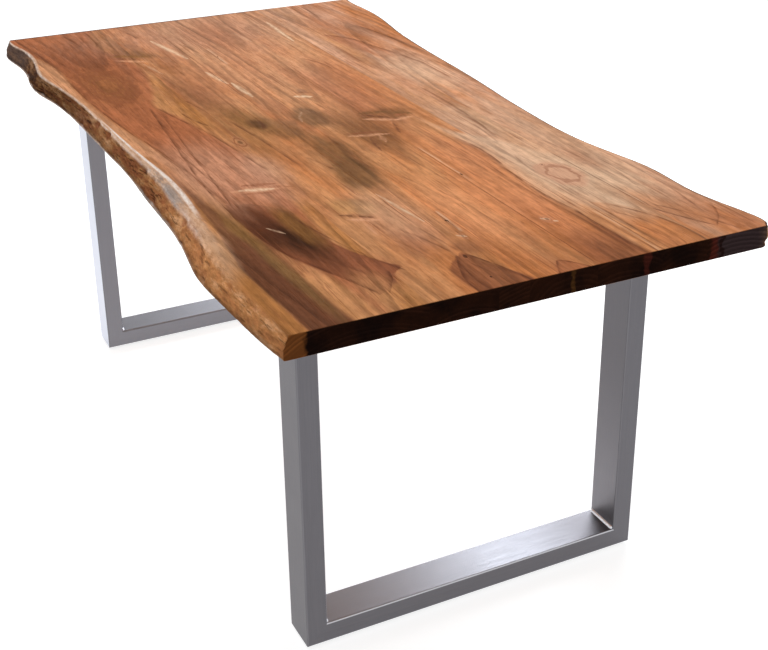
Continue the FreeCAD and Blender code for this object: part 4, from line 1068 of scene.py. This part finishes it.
def paint_left_edge_light(net, x, raw, patches, flecks, colour):
    """The colour of the left edge with a painted highlight on its shoulder, a painted grey shade beside it
    and a painted glint along the rim.
    """
    # painted highlight: the rolled shoulder is lightened towards PALE_SAPWOOD, fading out towards the near
    # end
    shoulder = net.steps(raw, 0.12, 0.35) * net.steps(raw, 0.98, 0.55)
    shoulder = shoulder * (0.45 + 0.55 * net.steps(flecks, 0.4, 0.6)) * net.steps(x, 0.72, 0.35)
    colour = net.blend(shoulder * 0.75, colour, PALE_SAPWOOD)
    # painted shade: a grey stretch low on the roll, beside the highlight, from x 0.08 to 0.40
    along = net.steps(x, 0.08, 0.18) * net.steps(x, 0.40, 0.30)
    painted_grey_shade = net.steps(raw, 0.30, 0.50) * net.steps(raw, 1.0, 0.75) * along
    colour = net.blend(painted_grey_shade * net.steps(patches, 0.36, 0.56) * 0.75, colour, PAINTED_SHADE_GREY)
    # painted glint: a thin pale line along the roll, from x -0.2 to 0.44
    along = net.steps(x, -0.20, -0.05) * net.steps(x, 0.44, 0.34)
    rim = net.steps(net.absolute(raw - 0.26), 0.14, 0.04) * along
    return net.blend(rim * (0.45 + 0.55 * net.steps(flecks, 0.35, 0.55)) * 0.8, colour, PAINTED_GLINT_WHITE)


def finish_live_plank(node, side, *grain):
    """The carved plank. Its raw edge starts further down on the left, where the crest is worn to a sheen."""
    material, net, colour, roughness, height = plank_material(node, *grain)
    place = net.wire(net.node("ShaderNodeTexCoord"), "Object")
    raw = net.wire(net.node("ShaderNodeAttribute", attribute_name="raw_edge"), "Fac")
    hollow = net.wire(net.node("ShaderNodeAttribute", attribute_name="hollow"), "Fac")
    x, _, z = net.split(place)
    patches = net.noise(net.stretch(place, (11.0, 24.0, 55.0)), 1.0, 6.0, 0.75)
    flecks = net.noise(net.stretch(place, (50.0, 160.0, 160.0)), 1.0, 4.0, 0.7)
    cracks = net.noise(net.stretch(place, (20.0, 60.0, 260.0)), 1.0, 4.0, 0.6)
    bark = bark_colour(net, x, z, hollow, patches, flecks, cracks)
    unsawn = 1.0 - net.steps(net.absolute(x), HALF_LENGTH - END_EASE / 2, HALF_LENGTH - END_EASE / 4)
    sheen = {}
    if side == LEFT:
        share = net.steps(raw, 0.15, 0.95) * unsawn
        colour = paint_left_edge_light(net, x, raw, patches, flecks, net.blend(share, colour, bark))
        sheen_strength = net.steps(flecks, 0.30, 0.60) * 0.5 + 0.5
        coat = net.steps(raw, 0.02, 0.3) * net.steps(raw, 1.0, 0.7) * unsawn * sheen_strength * 0.55
        sheen = {"Coat Weight": coat * (0.15 + 0.85 * net.steps(x, 0.60, 0.40)), "Coat Roughness": 0.28}
    else:
        share = net.steps(raw, 0.0, 0.20) * unsawn
        # painted shade: the right edge turns near black at its crest and where its foot turns under
        bark = net.blend(net.steps(raw, 1.0, 0.6) * 0.95, bark, DARK_BARK)
        colour = net.blend(share, colour, bark)
    values = {"Base Color": colour, "Roughness": roughness + share * 0.08,
              "Specular IOR Level": WOOD_SHINE, **sheen}
    height = height + share * (flecks * 1.5 - net.steps(cracks, 0.58, 0.68) * 2.0)
    finish_material(net, values, height, EDGE_BUMP)
    mesh = build_live_plank(node, side)
    new_piece(f"{node}_carved", mesh, "table", material, node, PLANK_CREASE)


# Live planks: node, side, then the same six as the inner planks.
LIVE_PLANKS = (
    ("left_live_edge_plank", LEFT, TAN, OCHRE, (-0.33, 0.50), 0.007, 0.03, 20.3),
    ("right_live_edge_plank", RIGHT, PINK_SAPWOOD, HONEY, (0.35, 0.58), 0.008, -0.03, 25.8),
)
for live_plank in LIVE_PLANKS:
    finish_live_plank(*live_plank)


# Steel


def make_brushed_steel():
    """Fine scratches along a tube, cloudy patches and masks of the corners, where a painted highlight goes.
    """
    inputs = (("Place", "place"), ("Scratch Scale", "place"), ("Centre", "place"), ("Half Size", "place"))
    outputs = (("Scratches", "number"), ("Clouds", "number"), ("Corners", "number"))
    tree, net, given, result = new_group("brushed_steel", inputs, outputs)
    scratch_place = net.node("ShaderNodeVectorMath", {0: given["Place"], 1: given["Scratch Scale"]},
                             operation="MULTIPLY")
    scratches = net.noise(net.wire(scratch_place), 1.0, 3.0, 0.7)
    net.feed(result.inputs["Scratches"], net.steps(scratches, 0.3, 0.7))
    net.feed(result.inputs["Clouds"], net.noise(given["Place"], 9.0, 4.0, 0.6))
    offset = net.node("ShaderNodeVectorMath", {0: given["Place"], 1: given["Centre"]}, operation="SUBTRACT")
    near_face = []
    for distance, half in zip(net.split(net.wire(offset)), net.split(given["Half Size"])):
        near_face.append(net.steps(half - net.absolute(distance), 0.0030, 0.0008))
    near_x, near_y, near_z = near_face
    corners = net.larger(net.larger(near_x * near_y, near_y * near_z), near_x * near_z)
    net.feed(result.inputs["Corners"], corners)
    return tree


BRUSHED_STEEL = make_brushed_steel()
STEEL = (0.150, 0.145, 0.158)
BRIGHT_STEEL = (0.72, 0.72, 0.76)
# painted reflection at grazing angles
PAINTED_GRAZING_REFLECTION = (0.66, 0.68, 0.76)
# painted sheen for the near rail
PAINTED_SHEEN_STEEL = (0.36, 0.37, 0.41)
# painted light on some faces
PAINTED_LIGHT_STEEL = (0.235, 0.228, 0.248)
ZINC = (0.60, 0.61, 0.62)
BRASS = (0.62, 0.42, 0.16)
NYLON = (0.02, 0.02, 0.022)
STEEL_BUMP = 0.00004
FITTING_BUMP = 0.00003


def on_face(net, along, level, outward):
    """1 on the flat face at a level that looks outward, which is 1 or -1, and 0 away from that face."""
    return net.steps(along, level - outward * 0.0010, level - outward * 0.0002)


def steel_material(node, scratch_scale, sheen_strength):
    """The steel of one tube or plate, with painted highlights on its corners. Some faces are paler with
    painted light, the near rail's upper face has a painted sheen, and faces seen at a grazing angle have a
    painted reflection.
    """
    material, net, place = start_material(f"{node}_steel")
    low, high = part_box(node)
    values = {"Place": place, "Scratch Scale": scratch_scale, "Centre": (low + high) / 2,
              "Half Size": (high - low) / 2}
    steel = net.use(BRUSHED_STEEL, values)
    scratches, clouds, corners = (net.wire(steel, name) for name in ("Scratches", "Clouds", "Corners"))
    brushed = 0.84 + scratches * 0.16 + clouds * 0.16
    # painted highlight: the corners are lightened towards BRIGHT_STEEL
    colour = net.shade(net.blend(corners * sheen_strength, STEEL, BRIGHT_STEEL), brushed)
    x, y, z = net.split(place)
    # painted light: the far frame's faces towards the near end are paler
    if node.startswith("far_frame"):
        colour = net.blend(on_face(net, x, high.x, 1), colour, PAINTED_LIGHT_STEEL)
    # painted light: the inner face of the near right upright is paler towards its foot
    if node == "near_frame_right_upright":
        foot = net.steps(z, 0.45, 0.05)
        colour = net.blend(on_face(net, y, low.y, -1) * foot, colour, PAINTED_LIGHT_STEEL)
    # painted sheen on the near rail's upper face, full on its left half and fading out towards the right
    if node == "near_frame_floor_rail":
        painted_sheen_reach = net.steps(y, 0.28, 0.02)
        colour = net.blend(on_face(net, z, high.z, 1) * painted_sheen_reach * 0.6, colour, PAINTED_SHEEN_STEEL)
    # painted reflection: faces seen at a grazing angle turn pale
    facing = net.wire(net.node("ShaderNodeLayerWeight", {"Blend": 0.5}), "Facing")
    colour = net.blend(net.steps(facing, 0.72, 0.80), colour, PAINTED_GRAZING_REFLECTION)
    roughness = 0.34 + scratches * 0.10 + clouds * 0.12 - corners * 0.08
    values = {"Base Color": colour, "Metallic": 1.0, "Roughness": roughness}
    finish_material(net, values, scratches, STEEL_BUMP)
    return material


UPRIGHT_SCRATCHES = (700.0, 700.0, 9.0)
CROSSWISE_SCRATCHES = (700.0, 9.0, 700.0)
# Parts of a frame: name, direction of the scratches, how strong the painted highlight on the corners is
# (near, far).
FRAME_PARTS = (
    ("left_upright", UPRIGHT_SCRATCHES, (0.08, 0.08)),
    ("right_upright", UPRIGHT_SCRATCHES, (0.08, 0.08)),
    ("floor_rail", CROSSWISE_SCRATCHES, (1.0, 0.3)),
    ("mounting_plate", CROSSWISE_SCRATCHES, (0.12, 0.12)),
)
for index, end in enumerate(ENDS):
    for part, scratch_scale, sheen_strength in FRAME_PARTS:
        name = f"{end}_frame_{part}"
        put_on(name, steel_material(name, scratch_scale, sheen_strength[index]))


def fitting_finish(name, tone, roughness, metallic=1.0):
    """A small fitting's finish: faint tarnish and tool marks."""
    material, net, place = start_material(name)
    tarnish = net.noise(place, 160.0, 4.0, 0.6)
    marks = net.noise(net.stretch(place, (900.0, 900.0, 2500.0)), 1.0, 2.0)
    dull = tuple(value * 0.75 for value in tone)
    bright = tuple(min(value * 1.25, 1.0) for value in tone)
    values = {"Base Color": net.blend(tarnish, dull, bright), "Metallic": metallic,
              "Roughness": roughness + tarnish * 0.2}
    finish_material(net, values, marks, FITTING_BUMP)
    return material


WELD_STEEL = fitting_finish("weld_bead_steel", BRIGHT_STEEL, 0.22)
ZINC_PLATING = fitting_finish("zinc_plating", ZINC, 0.30)
TURNED_BRASS = fitting_finish("turned_brass", BRASS, 0.28)
BLACK_NYLON = fitting_finish("black_nylon", NYLON, 0.45, metallic=0.0)
for end in ENDS:
    put_on(f"{end}_threaded_inserts", TURNED_BRASS)


# Fittings

SCREW_PLACES = (-0.28, -0.10, 0.08, 0.26)
GLIDE_PLACES = (("left", -0.315), ("right", 0.295))
THREAD_PITCH = 0.00125
THREAD_RADIUS = 0.004
THREAD_DEPTH = 0.0007
TIP_RADIUS = 0.0028
ROWS_PER_PITCH = 6
AROUND = 36
CHAMFER_SLOPE = math.tan(math.radians(30))
CHAMFER_CIRCLE = 0.475
SCREW_FLATS = 0.013
STUD_FLATS = 0.015
STUD_HEAD = 0.0025
WASHER_BORE = 0.0043
WASHER_RIM = 0.012
EASE = 0.0003
MERGE_DISTANCE = 0.000001


def wrap(mesh, around, rows, place):
    """Adds a grid wrapped round an axis. place(turn, row) gives each point. The seam and poles are merged."""
    grid = bmesh.ops.create_grid(mesh, x_segments=around, y_segments=rows, size=0.5)["verts"]
    for vertex in grid:
        turn = round((vertex.co.x + 0.5) * around) % around
        row = round((vertex.co.y + 0.5) * rows)
        vertex.co = place(turn / around, row)
    bmesh.ops.remove_doubles(mesh, verts=grid, dist=MERGE_DISTANCE)


def hexagon(flats, turn):
    """Distance from the axis to the side of a hexagon in one direction."""
    sixth = math.pi / 3
    angle = (turn * 2 * math.pi) % sixth
    return flats / 2 / math.cos(angle - sixth / 2)


def turned(mesh, centre, rows):
    """A piece on an upright axis. Each row gives (radius, level) for a share of a turn."""
    def place(turn, row):
        radius, level = rows[row](turn)
        angle = turn * 2 * math.pi
        return centre[0] + radius * math.cos(angle), centre[1] + radius * math.sin(angle), level
    wrap(mesh, AROUND, len(rows) - 1, place)


def ring(radius, level):
    return lambda turn: (radius, level)


def six_sided(flats, level, inset=0.0):
    return lambda turn: (hexagon(flats, turn) - inset, level)


def chamfered(flats, level, side):
    """The curved rim that a conical chamfer leaves on a hexagon head."""
    def row(turn):
        radius = hexagon(flats, turn)
        return radius, level + side * (radius - flats * CHAMFER_CIRCLE) * CHAMFER_SLOPE
    return row


def thread_row(level):
    def row(turn):
        wave = (level / THREAD_PITCH - turn) % 1.0
        return THREAD_RADIUS - THREAD_DEPTH * abs(2 * wave - 1), level
    return row


def add_bolt(mesh, centre, flats, low, head_top, tip):
    """A hexagon head with both rims chamfered, and a threaded shank up from it."""
    steps = math.ceil((tip - head_top) / THREAD_PITCH * ROWS_PER_PITCH)
    first, last = head_top + 0.0004, tip - 0.0008
    head_circle = flats * CHAMFER_CIRCLE
    head = [ring(0.0, low), ring(head_circle, low), chamfered(flats, low, 1),
            chamfered(flats, head_top, -1), ring(head_circle, head_top)]
    root = ring(THREAD_RADIUS - THREAD_DEPTH, head_top)
    thread = [thread_row(between(first, last, step / steps)) for step in range(steps + 1)]
    turned(mesh, centre, [*head, root, *thread, ring(TIP_RADIUS, tip), ring(0.0, tip)])


def add_washer(mesh, centre, low, high):
    turned(mesh, centre, [ring(WASHER_BORE, low), ring(WASHER_RIM - EASE, low),
                          ring(WASHER_RIM, low + EASE), ring(WASHER_RIM, high - EASE),
                          ring(WASHER_RIM - EASE, high), ring(WASHER_BORE, high), ring(WASHER_BORE, low)])


def add_rivet_nut(mesh, centre, low):
    """A rivet nut: its round flange under the rail and its hexagon body above."""
    bore, rim, flats = 0.0041, 0.008, 0.011
    flange_top, top = low + 0.0015, low + 0.0175
    turned(mesh, centre, [ring(bore, low), ring(rim - EASE, low), ring(rim, low + EASE),
                          ring(rim, flange_top), six_sided(flats, flange_top),
                          six_sided(flats, top - EASE), six_sided(flats, top, EASE),
                          ring(bore, top), ring(bore, low)])


def add_glide_pad(mesh, centre, low):
    """A hexagon pad with a rounded tread and a hexagon pocket for the stud's head."""
    flats, pocket, top, floor = 0.027, 0.015, low + 0.005, low + 0.0025
    turned(mesh, centre, [ring(0.0, low), six_sided(flats, low, 0.0014),
                          six_sided(flats, low + 0.0003, 0.0005), six_sided(flats, low + 0.0010),
                          six_sided(flats, top - 0.0006), six_sided(flats, top, 0.0006),
                          six_sided(pocket, top), six_sided(pocket, floor), ring(0.0, floor)])


WELD_LEG = 0.005
WELD_SUNK = 0.0001
WELD_ARC_PARTS = 8
WELD_PARTS = WELD_ARC_PARTS + 2
RIPPLE = 0.0021
ROWS_PER_RIPPLE = 6


def add_weld_bead(mesh, start_x, end_x, corner_y, corner_z, inward_y, inward_z):
    """A rippled bead along X in an inner corner, thicker amid each ripple and rounded at both ends."""
    length = end_x - start_x
    rows = round(length / RIPPLE * ROWS_PER_RIPPLE)

    def place(turn, row):
        part = round(turn * WELD_PARTS)
        share = row / rows
        if part > WELD_ARC_PARTS:
            outward, upward = 0.0, 0.0
        else:
            arc = part / WELD_ARC_PARTS
            angle = arc * math.pi / 2
            bulge = math.sin(math.pi * arc)
            wave = abs(math.sin(math.pi * (length * share / RIPPLE + bulge * 0.5)))
            reach = WELD_LEG * (0.93 - 0.20 * bulge) + 0.0005 * wave * bulge
            reach += noise.noise(Vector((share * 40.0, corner_y * 50.0, corner_z))) * 0.0003
            rounding = min(share, 1 - share) * length / (0.7 * WELD_LEG)
            reach *= math.sqrt(1 - (1 - min(rounding, 1.0)) ** 2)
            outward, upward = reach * math.cos(angle), reach * math.sin(angle)
        return (between(start_x, end_x, share), corner_y + inward_y * (outward - WELD_SUNK),
                corner_z + inward_z * (upward - WELD_SUNK))
    wrap(mesh, WELD_PARTS, rows, place)


def new_fitting(name, mesh, body, material, node):
    bmesh.ops.recalc_face_normals(mesh, faces=mesh.faces)
    new_piece(name, mesh, body, material, node, FITTING_CREASE)


def new_hardware(name, mesh, body, node):
    new_fitting(name, mesh, body, ZINC_PLATING, node)


for end in ENDS:
    low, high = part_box(f"{end}_machine_screws")
    middle_x = (low.x + high.x) / 2
    washer_low, washer_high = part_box(f"{end}_washers")
    screws, washers, nuts, beads = (bmesh.new() for _ in range(4))
    for y in SCREW_PLACES:
        add_bolt(screws, (middle_x, y), SCREW_FLATS, low.z, washer_low.z, high.z)
        add_washer(washers, (middle_x, y), washer_low.z, washer_high.z)
    new_hardware(f"{end}_hexagon_screws", screws, "table", f"{end}_machine_screws")
    new_hardware(f"{end}_plain_washers", washers, "table", f"{end}_washers")
    for _, y in GLIDE_PLACES:
        add_rivet_nut(nuts, (middle_x, y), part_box(f"{end}_rivet_nuts")[0].z)
    new_hardware(f"{end}_flanged_rivet_nuts", nuts, "table", f"{end}_rivet_nuts")
    weld_node = f"{end}_frame_corner_welds"
    bead_low, bead_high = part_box(weld_node)
    for corner_z, inward_z in ((bead_low.z, 1), (bead_high.z, -1)):
        for corner_y, inward_y in ((bead_low.y, 1), (bead_high.y, -1)):
            add_weld_bead(beads, bead_low.x, bead_high.x, corner_y, corner_z, inward_y, inward_z)
    new_fitting(f"{end}_rippled_weld_beads", beads, "table", WELD_STEEL, weld_node)
    for side, y in GLIDE_PLACES:
        glide = f"{end}_{side}_glide"
        stud, pad = bmesh.new(), bmesh.new()
        stud_low, stud_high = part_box(f"{glide}_stud")
        add_bolt(stud, (middle_x, y), STUD_FLATS, stud_low.z, stud_low.z + STUD_HEAD, stud_high.z)
        add_glide_pad(pad, (middle_x, y), 0.0)
        new_hardware(f"{glide}_threaded_stud", stud, glide, f"{glide}_stud")
        new_fitting(f"{glide}_moulded_pad", pad, glide, BLACK_NYLON, f"{glide}_pad")


# Floor, light and camera

AMBIENT = 0.45
FLOOR_HALF_SIZE = 14.0
FLOOR_PAINT = 0.80
SHADOW_PAINT = 0.44
FLOOR_GLOW = 0.80
WHITE = (1.0, 1.0, 1.0)
# Softboxes: name, place, target, width, height, power, colour.
SOFTBOXES = (
    ("overhead_softbox", (-0.3, -0.4, 4.8), (0.0, 0.0, 0.7), 3.0, 3.0, 78.0, (1.0, 0.985, 0.96)),
    ("right_back_window", (-2.6, 2.4, 3.0), (0.65, 0.2, 0.05), 3.0, 1.8, 125.0, (0.92, 0.96, 1.0)),
    ("low_back_panel", (-1.7, 1.5, 0.38), (0.65, 0.0, 0.05), 2.6, 0.5, 24.0, (0.86, 0.93, 1.0)),
    ("left_back_window", (-5.0, -1.9, 1.9), (-0.3, -0.4, 0.7), 1.2, 1.6, 26.0, WHITE),
)
# The camera's place, and its azimuth, elevation and roll in degrees.
CAMERA_PLACE = (2.472, -1.068, 1.633)
CAMERA_ANGLES = (63.32, 24.47, -0.38)
# The picture's size, the focal length and where the camera points, all in pixels.
PICTURE_WIDTH, PICTURE_HEIGHT = 768.0, 650.0
FOCAL_LENGTH = 1345.0
AIM_X, AIM_Y = 400.0, 265.0
SENSOR_WIDTH = 36.0


def background_share(net):
    """1 for rays that see the background, straight or in a reflection, and 0 for light that bounces."""
    path = net.node("ShaderNodeLightPath")
    straight = net.larger(net.wire(path, "Is Camera Ray"), net.wire(path, "Is Transmission Ray"))
    return net.larger(straight, net.wire(path, "Is Glossy Ray"))


def make_floor():
    """A pale floor, white to the camera and in the steel, that keeps a light shadow of the table."""
    mesh = bmesh.new()
    bmesh.ops.create_grid(mesh, x_segments=1, y_segments=1, size=FLOOR_HALF_SIZE)
    data = bpy.data.meshes.new("floor")
    mesh.to_mesh(data)
    mesh.free()
    floor = bpy.data.objects.new("floor", data)
    scene.collection.objects.link(floor)
    material, net, _ = start_material("pale_floor")
    paint = net.node("ShaderNodeBsdfDiffuse", {"Color": (FLOOR_PAINT,) * 3})
    light_shadow = net.node("ShaderNodeBsdfDiffuse", {"Color": (SHADOW_PAINT,) * 3})
    glow = net.node("ShaderNodeEmission", {"Color": WHITE, "Strength": FLOOR_GLOW})
    seen = net.node("ShaderNodeAddShader")
    net.tree.links.new(light_shadow.outputs[0], seen.inputs[0])
    net.tree.links.new(glow.outputs[0], seen.inputs[1])
    lit = net.node("ShaderNodeMixShader")
    net.tree.links.new(background_share(net).socket, lit.inputs[0])
    net.tree.links.new(paint.outputs[0], lit.inputs[1])
    net.tree.links.new(seen.outputs[0], lit.inputs[2])
    output = net.node("ShaderNodeOutputMaterial")
    net.tree.links.new(lit.outputs[0], output.inputs[0])
    data.materials.append(material)
    floor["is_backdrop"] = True


def make_world():
    world = bpy.data.worlds.new("studio")
    world.use_nodes = True
    world.node_tree.nodes.clear()
    net = Net(world.node_tree)
    level = background_share(net) * (1.0 - AMBIENT) + AMBIENT
    background = net.node("ShaderNodeBackground", {"Color": WHITE, "Strength": level})
    output = net.node("ShaderNodeOutputWorld")
    net.tree.links.new(background.outputs[0], output.inputs[0])
    scene.world = world


def add_softbox(name, place, target, width, height, power, colour):
    light = bpy.data.lights.new(name, "AREA")
    light.shape = "RECTANGLE"
    light.size = width
    light.size_y = height
    light.energy = power
    light.color = colour
    lamp = bpy.data.objects.new(name, light)
    lamp.location = place
    lamp.rotation_mode = "QUATERNION"
    lamp.rotation_quaternion = (Vector(target) - Vector(place)).to_track_quat("-Z", "Y")
    lamp.visible_camera = False
    scene.collection.objects.link(lamp)


def add_camera():
    azimuth, elevation, roll = (math.radians(angle) for angle in CAMERA_ANGLES)
    back = Vector((math.sin(azimuth) * math.cos(elevation), -math.cos(azimuth) * math.cos(elevation),
                   math.sin(elevation)))
    right = (-back).cross(Vector((0.0, 0.0, 1.0))).normalized()
    up = right.cross(-back)
    turned_right = right * math.cos(roll) + up * math.sin(roll)
    turned_up = up * math.cos(roll) - right * math.sin(roll)
    data = bpy.data.cameras.new("camera")
    data.sensor_width = SENSOR_WIDTH
    data.lens = FOCAL_LENGTH / PICTURE_WIDTH * SENSOR_WIDTH
    data.shift_x = (PICTURE_WIDTH / 2 - AIM_X) / PICTURE_WIDTH
    data.shift_y = (AIM_Y - PICTURE_HEIGHT / 2) / PICTURE_WIDTH
    camera = bpy.data.objects.new("camera", data)
    axes = Matrix((turned_right, turned_up, back)).transposed()
    camera.matrix_world = Matrix.Translation(CAMERA_PLACE) @ axes.to_4x4()
    scene.collection.objects.link(camera)
    scene.camera = camera


make_floor()
make_world()
for softbox in SOFTBOXES:
    add_softbox(*softbox)
add_camera()
scene.view_settings.view_transform = "Standard"

low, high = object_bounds()
